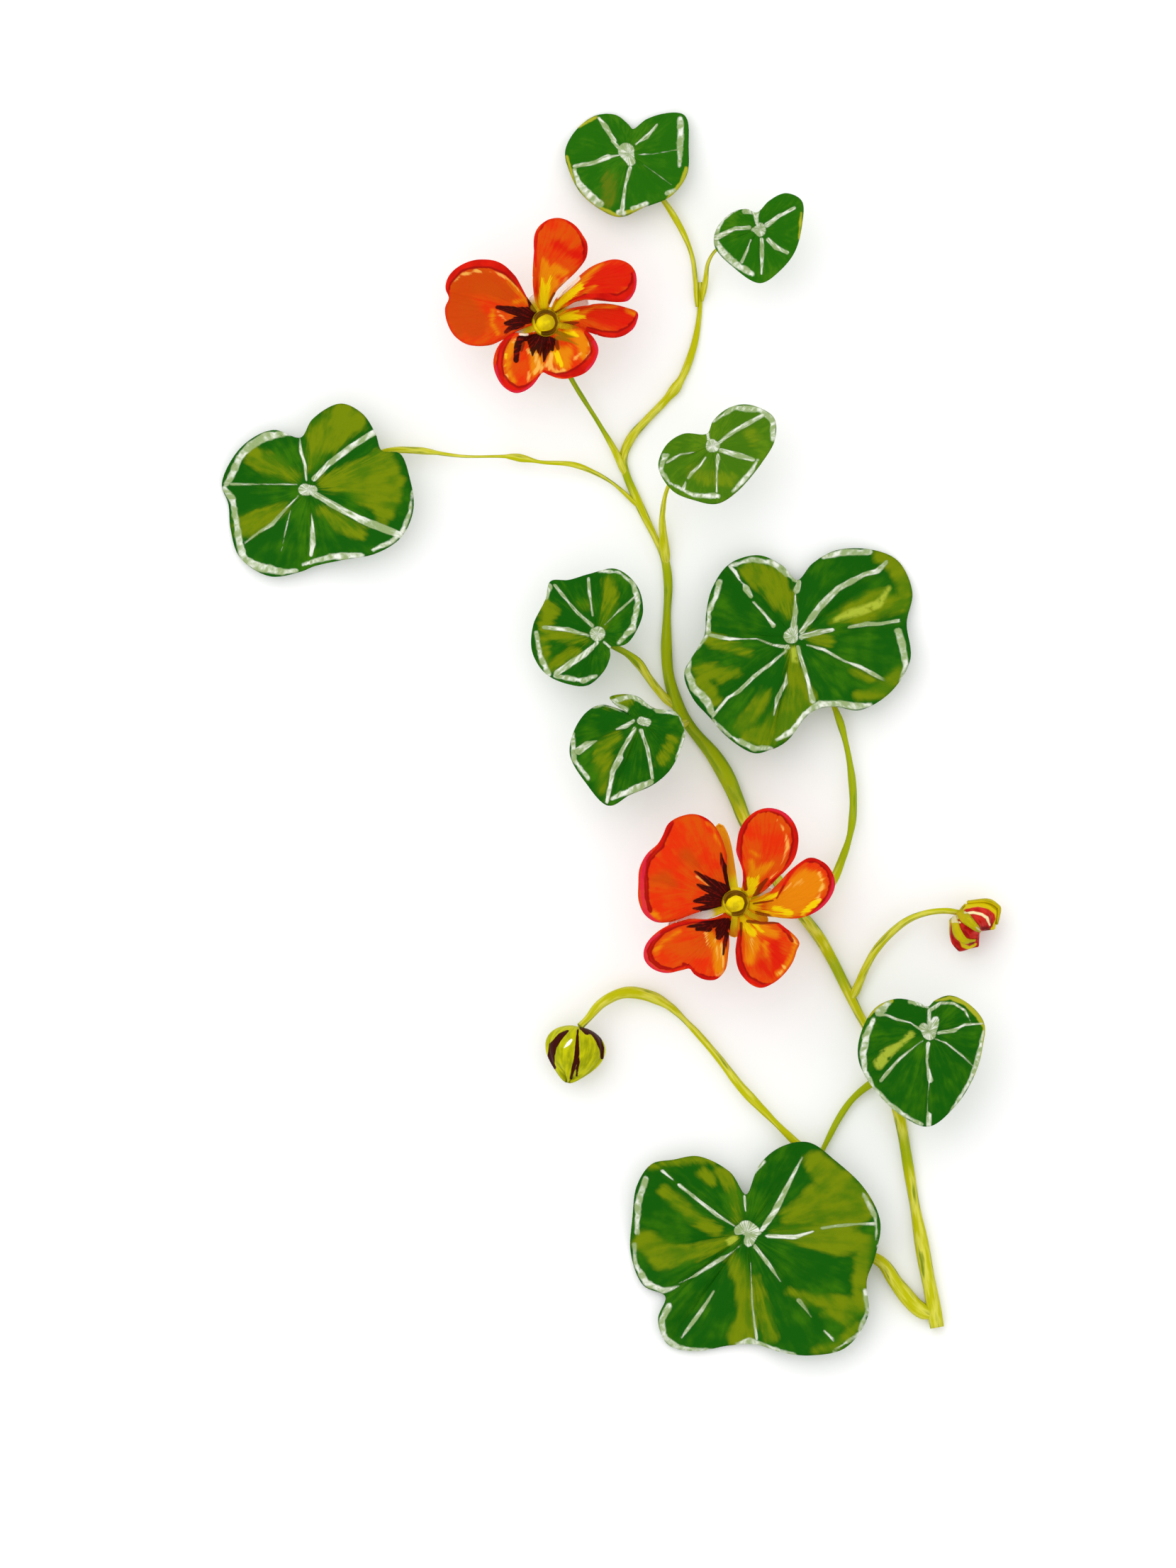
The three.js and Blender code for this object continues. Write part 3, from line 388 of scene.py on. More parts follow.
# %% Strokes on the leaves
LEAF_MARKS = {
    "leaf_1": {
        "veins":
            "-76 90 5, -57 65 8, -36 30 5; -41 30 5, -18 4 5; 17 23 3, 45 42 8, 71 71 5; 20 -5 1, 39 -4 3, "
            "58 -4 1, 125 8 1; 36 -28 1, 71 -53 1, 109 -82 1; 4 -37 5, -9 -85 5, -18 -155 6; -25 -5 3, -50 "
            "-9 5; -53 -10 9, -88 -25 6, -139 -34 5",
        "hub": "-6 4 22, 4 -21 13",
        "olive": "-47 -60 13, -53 -117 17",
        "pale_rim":
            "-139 -44 3, -127 -79 7, -101 -107 8, -73 -130 7; 131 87 5, 133 55 5, 130 4 3, 129 -34 1; 115 "
            "-95 2, 96 -104 4; -25 -152 5, -12 -155 4; 10 -142 3, 45 -130 4",
        "yellow_rim":
            "146 -40 4, 134 -79 5, 90 -126 3; -158 -9 3, -143 -66 3, -101 -126 3, -31 -161 4, 39 -139 4; "
            "-127 68 3, -82 93 3",
    },
    "leaf_2": {
        "veins":
            "19 9 8, 50 32 6, 89 51 5; 22 -29 5, 41 -48 6, 70 -62 5; 5 -29 6, 6 -77 6, 5 -115 4; -23 -29 3, "
            "-32 -57 4, -45 -86 4; -26 3 5, -64 0 6, -109 -22 8; -7 13 5, -10 38 8",
        "hub": "-16 -3 5, -2 -3 18",
        "pale_rim":
            "-112 -29 4, -96 -57 6, -64 -89 6, -20 -115 4; -109 -7 4, -90 25 4, -58 48 3; -39 44 3, -7 41 4",
        "yellow_rim": "106 38 3, 101 -26 3",
    },
    "leaf_3": {
        "veins":
            "13 28 7, 52 67 8, 108 109 8, 167 145 9; 13 -9 8, 64 -40 9, 131 -76 11, 232 -116 9; 8 -59 2, 9 "
            "-98 8, 10 -138 10, 5 -166 6; -26 -14 3, -65 -54 4, -93 -87 6, -127 -107 3, -163 -135 3; -29 14 "
            "3, -93 15 2, -155 15 3, -200 15 3; -6 25 4, -9 64 6, -20 98 6, -23 134 2; -46 -54 2, -60 -110 "
            "2, -70 -160 2",
        "hub": "-12 0 16, 10 0 12",
        "olive":
            "13 86 17, 41 137 44, 86 176 40, 111 176 29; 2 53 4, 13 81 19; 41 19 12, 108 25 35, 176 36 52; "
            "142 2 39, 198 -9 39, 192 -59 20; 187 70 30, 212 25 26; -166 -93 25, -116 -70 21, -60 -45 10; "
            "-144 86 17, -93 64 26, -37 33 13; 30 -54 9, 75 -82 19, 131 -112 10",
        "pale_rim":
            "-26 141 4, -65 144 5, -110 134 9, -149 113 6, -177 81 5, -194 42 5, -211 16 4; -216 5 4, -194 "
            "-26 5, -186 -70 5, -177 -132 6, -166 -177 8, -127 -196 9, -65 -209 5, -32 -205 4; -15 -191 5, "
            "19 -180 6, 64 -170 7, 136 -168 5; 164 -154 4, 209 -135 4, 243 -104 4; 265 -3 2, 257 -59 3, 237 "
            "-110 4",
    },
    "leaf_4": {
        "veins":
            "17 8 6, 54 37 6, 127 77 6; 21 -12 7, 62 -24 8, 102 -36 6; 13 -24 4, 13 -37 6, 11 -65 3, 10 "
            "-118 3; -18 -31 3, -31 -50 5, -53 -70 5, -62 -83 4; -68 -93 3, -74 -110 6; -47 -16 2, -84 -22 "
            "3, -117 -42 4; -11 16 6, -14 34 5",
        "hub": "-1 0 18, 2 -1 16",
        "olive": "-52 -65 13, -19 -81 16, 46 -89 13; 94 33 11, 110 16 11",
        "pale_rim":
            "1 61 2, 54 96 3, 119 91 5, 153 65 5, 153 16 5; -125 -24 3, -133 -65 3, -109 -95 3, -52 -126 4, "
            "13 -130 5; 50 -117 2, 70 -97 5, 98 -65 4, 115 -36 3; -117 -24 2, -122 -32 3",
    },
    "leaf_5": {
        "veins":
            "-108 124 5, -79 88 6, -51 55 6, -14 21 6; -22 141 4, -20 104 5, -13 47 3; 18 23 2, 55 59 4, 99 "
            "98 3; -22 -5 3, -75 11 7, -136 17 5; 0 -22 6, -35 -54 8, -103 -100 8; 18 -22 5, 38 -38 5",
        "hub": "0 0 19, 3 2 18",
        "olive":
            "-135 80 8, -119 59 15, -134 29 10, -140 3 6; -132 2 8, -83 -6 11, -30 -16 6; -138 -18 10, -132 "
            "-58 11, -122 -84 11, -91 -66 12, -55 -42 8; 32 137 11, 34 88 15, 19 23 7; -43 78 4, -25 72 6",
        "pale_rim":
            "-124 120 6, -132 96 5; -156 3 3, -144 -58 5, -124 -103 6; -108 -107 3, -35 -119 5, -2 -107 3; "
            "6 161 3, 55 157 4, 91 128 5, 103 80 5, 91 15 5, 55 -22 4",
    },
    "leaf_6": {
        "veins":
            "19 14 7, 65 77 9, 110 123 8, 179 160 7, 213 169 8, 236 192 5; 19 0 7, 65 12 8, 99 20 6; 139 26 "
            "4, 185 34 7, 219 34 5, 268 42 5; 33 -20 3, 76 -31 5, 128 -60 4, 173 -77 5, 213 -100 6, 248 "
            "-117 2; 10 -26 5, 24 -71 5, 36 -112 5, 47 -163 8; -19 -86 2, -21 -117 7, -44 -157 6, -53 -200 "
            "3; -21 -37 3, -61 -71 5, -102 -100 6, -142 -140 7, -170 -155 5, -208 -203 4; -16 -26 6, -56 "
            "-20 3, -96 -6 3, -136 -6 3, -165 -6 6, -213 4 5; -53 29 6, -73 55 3, -104 89 4; -110 103 6, "
            "-122 123 9, -130 135 2; -136 140 2, -150 166 6, -165 181 4; -1 26 9, 4 66 7, 3 106 2; 7 120 9, "
            "14 140 5",
        "hub": "-7 3 19, 2 26 8",
        "olive":
            "-113 169 23, -61 146 34, -27 95 23, -13 55 7; 99 42 8, 156 63 25, 213 89 34, 271 83 17; 213 "
            "208 8, 256 186 19, 282 140 19, 282 83 14; 47 3 10, 85 -6 14; -7 -37 9, 7 -100 19, 19 -157 32, "
            "-16 -203 36, -61 -249 29, -119 -249 18; -210 -8 15, -153 -26 13, -113 -43 5; -239 -83 16, -187 "
            "-94 18, -147 -89 7; -233 -117 15, -205 -157 14; 145 -83 5, 196 -112 8; 168 -149 10, 231 -134 "
            "19, 271 -89 15; -73 -146 8, -107 -197 17, -136 -232 19",
        "light": "105 43 5, 156 63 8, 213 83 9, 242 123 5; -3 -31 5, 2 -60 5",
        "pale_rim":
            "-162 181 3, -107 198 6, -56 189 6, -16 163 6, 7 146 3; -190 140 4, -199 100 6, -216 66 5, -219 "
            "14 4; -222 3 3, -262 -49 3, -271 -89 4, -256 -129 5, -222 -163 8, -210 -192 4; -205 -215 3, "
            "-159 -255 4, -102 -283 5, -56 -283 3; -44 -263 3, -4 -238 7, 24 -197 6, 65 -172 6, 110 -169 6, "
            "156 -177 6, 196 -172 4; 265 14 6, 276 -26 7, 285 -71 6, 271 -112 3; 76 203 4, 122 215 6, 191 "
            "218 5",
    },
    "leaf_7": {
        "veins":
            "-18 -18 6, -50 -70 6, -75 -127 7, -89 -204 6; -2 -22 6, 15 -70 7, 27 -143 5; -22 3 5, -42 -10 "
            "7, -66 -18 2; -160 -74 11, -139 -58 11, -113 -46 2; -54 -91 7, -68 -115 6",
        "hub": "-2 3 11, 13 -1 11",
        "olive":
            "-83 51 11, -42 59 16; -115 -127 8, -103 -70 18, -66 -38 11; -99 -168 13, -91 -87 13; 55 -95 "
            "13, 80 -46 11",
        "pale_rim":
            "-176 -30 3, -172 -95 5, -135 -143 5; -75 -196 5, -26 -172 7, 23 -153 5; -123 39 3, -26 66 3, "
            "23 39 3; 39 31 3, 96 19 3, 112 -22 4, 88 -95 3; -91 51 8, -42 31 5",
    },
    "leaf_8": {
        "veins":
            "1 18 6, 1 51 6, 30 71 5, 63 69 4, 92 51 4, 106 25 2; 25 -6 4, 63 -1 6, 92 16 4, 137 18 4; 15 "
            "-22 2, 44 -30 3, 82 -60 3, 115 -91 2; -1 -34 8, -6 -77 4, 4 -125 9; 1 -134 3, -4 -172 2, -4 "
            "-215 3; 1 -215 8, 0 -241 8; -13 -25 3, -46 -49 4, -75 -72 5, -122 -127 5; -20 1 3, -46 20 3, "
            "-80 28 4, -108 39 3, -132 42 6",
        "hub": "-13 8 11, 1 -8 17, 18 28 10",
        "light": "-46 -10 8, -70 -34 7, -103 -53 12, -127 -82 13",
        "pale_rim":
            "-141 28 5, -160 -15 9, -167 -58 7, -163 -101 5, -141 -144 4, -108 -182 4, -60 -215 4, -18 -239 "
            "3; 139 -1 2, 130 -44 3, 120 -87 4, 101 -134 3, 72 -182 3, 54 -215 2; -103 70 4, -127 46 8; -46 "
            "75 2, -3 61 3, 1 70 3",
        "yellow_rim":
            "-155 37 5, -132 61 5, -94 76 4; 11 75 2, 54 84 5, 92 70 6, 125 37 6, 143 8 6, 138 -30 4, 130 "
            "-77 5, 115 -115 4",
    },
    "leaf_9": {
        "veins":
            "37 6 6, 74 58 9, 105 120 7, 142 194 2; 52 -7 6, 123 -10 7, 173 6 3; 191 14 5, 234 21 5, 271 24 "
            "3, 327 26 6; 21 -34 6, 55 -78 6, 86 -124 2; 132 -170 7, 166 -214 3; 197 -248 4, 222 -272 6; 12 "
            "-71 2, 15 -183 4, 27 -269 4; -81 -146 2, -112 -195 7, -167 -269 3; -13 -31 2, -87 -81 5, -130 "
            "-109 5; -130 -109 4, -174 -127 2; -31 18 2, -75 46 6, -171 123 7; -186 136 3, -214 159 6; -5 "
            "95 5, -2 58 4",
        "hub": "-19 8 12, -1 15 19, 19 5 16, 6 -22 12; 24 3 9, 33 0 6",
        "olive":
            "173 182 22, 234 114 47, 278 65 40; 111 43 21, 191 71 56, 265 83 49; 74 3 9, 148 0 28, 234 -13 "
            "37, 302 -22 21; 304 -22 16, 296 -59 17, 291 -121 17, 287 -189 16; 111 -149 5, 173 -167 14, 234 "
            "-177 21, 271 -183 19; 203 -201 12, 253 -214 19; 173 -297 6, 234 -285 11, 278 -238 12; -31 -71 "
            "15, -1 -133 22, 9 -207 25, -13 -257 33; 24 -115 7, 49 -207 11, 61 -263 15; -257 -22 27, -211 "
            "-53 38, -137 -53 17, -106 -41 10, -38 -16 12; -211 108 9, -149 52 15, -75 6 9; -112 154 6, -90 "
            "133 9; -62 157 11, -35 114 12, -25 40 9; -242 170 5, -137 191 5, -87 188 4",
        "light": "-41 -22 9, -33 -15 9",
        "pale_rim":
            "-257 139 5, -276 77 6, -279 3 5; -285 -28 3, -282 -78 4, -254 -127 6, -211 -146 6, -174 -136 "
            "3; -195 -183 6, -217 -220 6, -211 -263 7, -174 -294 8, -137 -297 4, -75 -297 2; -25 -282 2, 6 "
            "-275 7, 49 -288 6, 123 -309 3; 302 -146 4, 309 -195 4, 284 -257 4, 222 -300 3; 12 145 3, 43 "
            "182 3; 296 102 3, 327 46 3, 333 -34 3",
    },
}

# %% [markdown]
# ## The leaves: their surface
#
# The blade rises gently from its hub, swells between two ribs and ripples near the rim. These are the
# same rules that shaped its solid, so the finer leaf fills the same space. The grid runs once round
# the leaf and from the hub to the rim, so its first and last column meet at the notch.

# %% Shape of a leaf blade
PUCKER = 0.045  # height of the swell between two ribs, for each millimetre from hub to rim
PUCKER_SPREAD = 2.4  # radians of a sine, so the swell is highest two thirds of the way out
DISH = 0.07  # how much the rim stands up, for each millimetre from hub to rim
RIPPLE = 0.035  # height of the rim's waves, for each millimetre from hub to rim
BLADE_THICKNESS = 0.7
COLUMNS_PER_RIM_POINT = 12
BLADE_ROWS = 42
RIM_TESTS = 4  # for each rim point, when the lowest one is looked for
LEAF_MARK_NAMES = ("veins", "hub", "olive", "light", "pale_rim", "yellow_rim")


def rib_share(leaf, position):
    """How far a place on the rim lies between the two ribs beside it, from 0 to 1."""
    count = len(leaf["rim"])
    ribs = [index for index, point in enumerate(leaf["rim"]) if len(point) == 3]
    position %= count
    before = max([rib for rib in ribs if rib <= position], default=ribs[-1] - count)
    after = min([rib for rib in ribs if rib > position], default=ribs[0] + count)
    return (position - before) / (after - before)


def blade_point(leaf, position, share):
    """A point of the blade's middle surface, a share of the way from the hub to the rim."""
    run = on_curve([point[:2] for point in leaf["rim"]], position, closed=True) - Vector(leaf["hub"])
    reach = run.length
    turn = math.atan2(run.y, run.x)
    between_ribs = math.sin(math.pi * rib_share(leaf, position))
    swell = PUCKER * reach * between_ribs * math.sin(PUCKER_SPREAD * share)
    waves, phase = leaf["ripple"]
    ripple = RIPPLE * reach * share**3 * math.sin(waves * turn + math.radians(phase))
    slope = (run.x * leaf["lean"][0] + run.y * leaf["lean"][1]) * share
    x, y = Vector(leaf["hub"]) + run * share
    return Vector((x, y, leaf.get("height", 0) + slope + DISH * reach * share**2 + swell + ripple))


for leaf in LEAVES.values():
    if "height" not in leaf:
        positions = [step / RIM_TESTS for step in range(RIM_TESTS * len(leaf["rim"]))]
        lowest = min(blade_point(leaf, position, 1).z for position in positions)
        leaf["height"] = BLADE_THICKNESS / 2 - lowest
print("hub heights:", {name: round(leaf["height"], 1) for name, leaf in LEAVES.items()})


# %% [markdown]
# ## The leaves: their finish
#
# A leaf's colour changes along its ribs, so every ragged edge and streak here is drawn out from the
# hub to the rim. The UV map runs round and outwards, and a noise that is scaled up much more round
# than outwards gives such streaks. The veins stand a little proud, and the blade has a fine grain.

# %% Finish of a leaf's upper and lower side
def leaf_top(name, deep, fresh, olive, moss):
    finish = Finish(name, roughness=0.6)
    streaks = finish.noise(finish.place("UV"), 1, (70, 4, 1), detail=4)
    dapple = finish.noise(finish.place(), 110)
    flecks = finish.noise(finish.place(), 520)
    grain = finish.noise(finish.place(), 1500, detail=2)
    ragged = streaks * 3.4 + dapple * 2.6 + flecks * 0.7

    colour = finish.blend((dapple * 1.8 + streaks * 1.1 + 0.24).between(0.1, 0.9), deep, fresh)
    patch = finish.fade("olive", ragged, 1.3, -0.8)
    olive_mix = finish.blend((streaks * 2.2 + dapple * 2.4 + 0.4).between(0, 1), olive, moss)
    colour = finish.blend(patch * 0.96, colour, olive_mix)
    glow = finish.fade("light", ragged * 0.5, 0.6, -0.5)
    glow = glow * (flecks * 2.6 + 0.9).between(0.2, 0.9)
    colour = finish.blend(glow * 0.9, colour, tint(166, 180, 52))
    yellow = finish.fade("yellow_rim", dapple * 0.8 + flecks * 0.6, 0.25, -0.2)
    colour = finish.blend(yellow * 0.85, colour, tint(172, 172, 40))

    chalk = finish.blend((streaks * 2.6 + flecks * 1.6 + dapple + 0.4).between(0.1, 0.9),
                         tint(146, 166, 112), tint(232, 234, 222))
    thin = (flecks * 1.2 + streaks * 1.6 + 1.25).between(0.45, 1)
    rim = finish.fade("pale_rim", dapple * 1.6 + streaks * 0.8 + flecks * 0.9, 0.4, -0.1)
    colour = finish.blend(rim * thin * 0.95, colour, chalk)
    veins = finish.fade("veins", dapple * 0.7 + flecks * 0.45, 0.07, -0.22)
    hub = finish.fade("hub", dapple + flecks * 0.6, 0.15, -0.15)
    pale = (veins * thin).at_least(hub)
    colour = finish.blend(pale * 0.95, colour, chalk)
    return finish.paint(colour, pale * 0.5 + grain * 0.35 + streaks * 0.5, depth=0.35)


def leaf_underside(name, green):
    finish = Finish(name, roughness=0.7)
    streaks = finish.noise(finish.place("UV"), 1, (95, 5, 1))
    grain = finish.noise(finish.place(), 1200, detail=2)
    pale = tuple(mix(channel, 0.5, 0.25) for channel in green)
    colour = finish.blend((streaks * 2 + grain + 0.5).between(0, 1), green, pale)
    return finish.paint(colour, grain + streaks, depth=0.25)


LEAF_GREENS = {  # deep, fresh, olive and moss green above, and the green below
    "leaf_green": ((14, 84, 0), (56, 112, 0), (112, 130, 0), (74, 112, 0), (92, 140, 62)),
    "leaf_fresh_green": ((30, 98, 0), (66, 120, 8), (92, 112, 10), (70, 110, 6), (98, 144, 62)),
    "leaf_pale_green": ((62, 108, 4), (92, 130, 12), (104, 130, 6), (84, 116, 10), (112, 148, 66)),
}
LEAF_FINISHES = {
    name: (leaf_top(name + "_top", *(tint(*green) for green in above)),
           leaf_underside(name + "_underside", tint(*below)))
    for name, (*above, below) in LEAF_GREENS.items()
}
LOOKS = {"leaf_1": "leaf_fresh_green", "leaf_2": "leaf_fresh_green", "leaf_4": "leaf_pale_green"}
PALE_SLOT_LEAVES = ("leaf_4", "leaf_9")
print("leaf finishes:", sorted(LEAF_FINISHES))


# %% Make the leaf blades
def leaf_blade(name):
    leaf = LEAVES[name]
    count = len(leaf["rim"])
    cones = mark_cones(LEAF_MARKS[name], LEAF_MARK_NAMES, leaf["hub"])

    def place(u, v):
        point = blade_point(leaf, u * count, v)
        return point, marks_at(point, cones)

    sheet = new_sheet(*LEAF_MARK_NAMES)
    bend_grid(sheet, count * COLUMNS_PER_RIM_POINT, BLADE_ROWS, place)
    slot = "leaf_pale_green" if name in PALE_SLOT_LEAVES else "leaf_green"
    finishes = LEAF_FINISHES[LOOKS.get(name, "leaf_green")]
    return make_piece(name + "_leaf", sheet, slot, finishes, name + "_blade",
                      thickness=BLADE_THICKNESS)


leaf_blades = [leaf_blade(name) for name in LEAVES]
print("blade faces:", sum(len(piece.data.polygons) for piece in leaf_blades))

# %% [markdown]
# ## The stems and stalks
#
# The stem is soft and slightly ridged, and swells where a stalk leaves it. It is a grid rolled round a
# route. The stem lies on the table, so its middle is one radius up. A stalk starts inside the stem
# and widens there, as the plant's own tissue does, so there is no gap at the joint.

# %% Routes of the stem, the side shoot and the stalks, in millimetres
RADIUS_STEP = 5
STEM_ROUTE = [  # (x, y, radius)
    (82.6, -151, 1.7), (81.2, -143, 1.7), (79.6, -135, 1.8), (78.2, -127, 1.7), (76.6, -118, 1.3),
    (75.2, -109.5, 1.35), (73.8, -101, 1.3), (72.2, -94, 1.3), (69.7, -86, 1.3), (66, -77, 1.25),
    (62.7, -71, 1.2), (59, -63.5, 1.25), (56, -57.5, 1.35), (52.5, -51.5, 1.35), (47.5, -45, 1.4),
    (42.5, -38, 1.45), (37.8, -30, 1.5), (33.8, -22, 1.6), (31.9, -17, 1.8), (29.5, -11.5, 2.05),
    (25.9, -5.5, 1.8), (20.9, 0.5, 1.55), (17.9, 4.9, 1.55), (15.9, 9.5, 1.6), (14.5, 14.5, 1.5),
    (13.9, 21, 1.35), (14, 30, 0.95), (14.3, 38, 1.05), (13.4, 44.5, 1), (10.9, 50, 0.85),
    (8.7, 54.5, 1), (6, 60.3, 1.1), (3.6, 66, 1), (2.9, 70.3, 0.95), (4.9, 75.3, 1.1),
    (8.6, 79.6, 1), (12.5, 83.6, 0.95), (14.2, 85.5, 0.95), (16, 87.7, 1.35), (17.6, 90.2, 1),
    (18.9, 93, 1.1), (20.9, 99, 0.85), (22, 105, 0.65), (22.4, 110, 0.6), (22.3, 114.8, 0.6),
]
SIDE_SHOOT_ROUTE = [  # (x, y, height of its middle)
    (70, -86.6, 1.6), (65.3, -89.4, 1.7), (61.2, -92.9, 1.6), (57.8, -97.7, 1.5),
    (54.7, -103.6, 1.4), (52.4, -108.3, 1.3), (50.4, -113, 1.2),
]
STALKS = {  # what it carries: radii every 5 mm from its root, and (x, y, height of its middle)
    "leaf_1": dict(
        radii=(0.5, 0.55, 0.58, 0.6, 0.75, 0.85, 0.75, 0.7),
        route=[(21.6, 108.5, 1.2), (21.1, 116.5, 1.6), (20.3, 121.5, 2.3), (18.4, 126.6, 2.8),
            (15.8, 131.4, 3.1), (12.6, 136.2, 3.2), (9, 141, 3), (6.3, 144.8, 2.6)]),
    "leaf_2": dict(
        radii=(0.5, 0.62, 0.5, 0.42, 0.5),
        route=[(22.9, 110, 1.3), (23.8, 115.5, 3.4), (24.4, 119.6, 6), (26.6, 123, 9.3),
            (31.5, 125.6, 12.2)]),
    "leaf_3": dict(
        radii=(0.6, 0.5, 0.42, 0.58, 0.72, 0.6, 0.5, 1.05, 0.38, 0.34, 0.38, 0.45, 0.9, 0.9, 0.75),
        route=[(7.7, 57, 1.3), (4.1, 60.3, 1.6), (0, 63.8, 2.2), (-5, 66.6, 3), (-10, 68.4, 3.6),
            (-18, 69, 4), (-22, 69.8, 4.1), (-26, 70.4, 4.2), (-38, 70.5, 4.2), (-50, 72, 4.2),
            (-58, 71.6, 4.2), (-70, 65.8, 3.4)]),
    "leaf_4": dict(
        radii=(0.9, 1.05, 0.95, 0.7, 0.5, 0.5),
        route=[(13.9, 42.5, 1.2), (13.1, 49, 2.6), (12.8, 56, 6), (14.6, 63.5, 10.5), (20, 70, 14.5)]),
    "leaf_5": dict(
        radii=(1, 0.9, 1, 1.25, 0.8),
        route=[(15.8, 6.8, 1.6), (12.5, 10.1, 3), (9.4, 14, 4.4), (6.9, 17.6, 6), (3.8, 20.3, 7.8),
            (0, 22.4, 9.5)]),
    "leaf_6": dict(
        radii=(0.95, 0.95, 1, 1.15, 0.95, 0.8, 1.1, 0.95, 0.95, 0.75, 0.68, 0.9, 0.6, 0.7),
        route=[(45.2, -44.2, 1.5), (50.6, -42.6, 2.8), (55.2, -38.9, 3.4), (58.4, -32, 3.6),
            (60.5, -25.5, 3.6), (61.3, -18.5, 3.4), (60.9, -11, 3.4), (59.6, -3.2, 3.8),
            (57.2, 5, 4.4), (51, 17.5, 4.8)]),
    "leaf_7": dict(
        radii=(0.9, 0.8, 0.75),
        route=[(19.6, 3.2, 1.7), (16.8, 2, 6), (12.6, 2, 12)]),
    "leaf_8": dict(
        radii=(1, 0.9, 0.8),
        route=[(67, -79.6, 1.6), (70.5, -80.2, 5.5), (75.6, -78.2, 11)]),
    "leaf_9": dict(
        radii=(1.4, 1.75, 2, 1.8, 1.45, 1.2, 1.1),
        route=[(81.9, -148.4, 1.9), (77.4, -145.8, 2.2), (72.2, -139.7, 2.5), (68.4, -134.4, 2.6),
            (60, -131, 2.6), (47, -128.6, 2.8), (39, -127.6, 3)]),
    "flower_upper": dict(
        radii=(0.8, 0.85, 0.76, 0.58, 0.54, 0.66, 0.7),
        route=[(3.9, 65, 1.1), (0.9, 71.5, 2.2), (-3.6, 79.2, 4.2), (-9.6, 88.8, 6.8),
            (-14.2, 97.5, 8.8)]),
    "flower_lower": dict(
        radii=(1.1, 1, 0.9),
        route=[(44, -40.4, 1.6), (40, -43.6, 4), (35, -44.8, 8.5)]),
    "bud_red": dict(
        radii=(1, 0.9, 0.94, 1.02, 0.94, 0.94, 0.86, 0.76, 0.7),
        route=[(60.8, -67.8, 1.6), (62.7, -63.6, 2.6), (64.4, -59.6, 3.5), (67, -55, 4.4),
            (70.7, -50.8, 5.2), (75.2, -47.3, 5.9), (80, -45.5, 6.4), (85, -45, 6.8)]),
    "bud_green": dict(
        radii=(0.95, 0.95, 0.94, 0.8, 1, 1.28, 1.25, 1, 0.85, 0.9, 0.68, 0.95, 1.45, 1.6, 1.35, 1.25, 1),
        route=[(52.2, -109.4, 1.6), (49.6, -106.8, 2.3), (46.3, -103.6, 2.8), (39.8, -97.2, 3.2),
            (32.7, -89.8, 3.2), (27, -82.4, 2.8), (20, -74.4, 2.4), (14, -68.9, 2.4),
            (8.5, -66.4, 2.8), (3, -65.9, 3.6), (-2.6, -68.5, 4.8), (-6.3, -72.6, 6.2)]),
}
SIDE_SHOOT_RADII = (1, 0.85, 0.8, 0.88, 0.78, 0.65)
GREENER = {  # the stretches that are greener, in millimetres from the root
    "stem": ((38, 52), (88, 102), (140, 214), (228, 240)), "side_shoot": ((0, 30),),
    "leaf_5": ((13, 30),), "leaf_6": ((14, 62),), "flower_upper": ((8, 40),),
}

# %% Where each flower and bud is
FLOWER_PLACES = {"flower_upper": Vector((-16.8, 104.2, 19)), "flower_lower": Vector((31.3, -43, 22))}
CUP_DEPTH = 8.5
STALK_IN_CUP = 1  # how far a flower's stalk goes into its cup
STALK_UNDER_BLADE = 0.15  # how far a leaf's stalk stays under the middle of its blade
GREEN_BUD = dict(base=(-8.1, -74.4, 7.2), heading=257.5, length=13.9, radius=7.7, squash=0.93)
RED_BUD = dict(base=(88.3, -45.5, 6.9), heading=-43, length=7.2, radius=7, squash=0.9)


def leaf_stalk_end(name):
    """The stalk's last point: it stays under the blade, however flat it arrives."""
    hub = Vector((*LEAVES[name]["hub"], LEAVES[name]["height"]))
    arriving = (hub - Vector(STALKS[name]["route"][-1])).normalized()
    return hub - UP * (STALKS[name]["radii"][-1] * arriving.xy.length + STALK_UNDER_BLADE)


stalk_ends = {name: leaf_stalk_end(name) for name in LEAVES}
stalk_ends |= {name: at - UP * (CUP_DEPTH - STALK_IN_CUP) for name, at in FLOWER_PLACES.items()}
stalk_ends |= {"bud_green": GREEN_BUD["base"], "bud_red": RED_BUD["base"]}
print("stalk ends:", len(stalk_ends))


# %% Roll a grid round a route
RIDGES = 5
RIDGE_DEPTH = 0.04  # as a share of the radius, like the next one
UNEVENNESS = 0.05
RIDGE_TWIST = 0.02  # radians for each millimetre, like the next two
SHORT_SWELLS = 0.37
LONG_SWELLS = 0.13
THICKEST = 1 + 2 * UNEVENNESS + RIDGE_DEPTH
FEWEST_ROWS = 6
GREEN_FADE = 6  # millimetres over which a green stretch comes up
NEARBY = 0.01
TUBE_MARKS = ("along", "edge", "green")


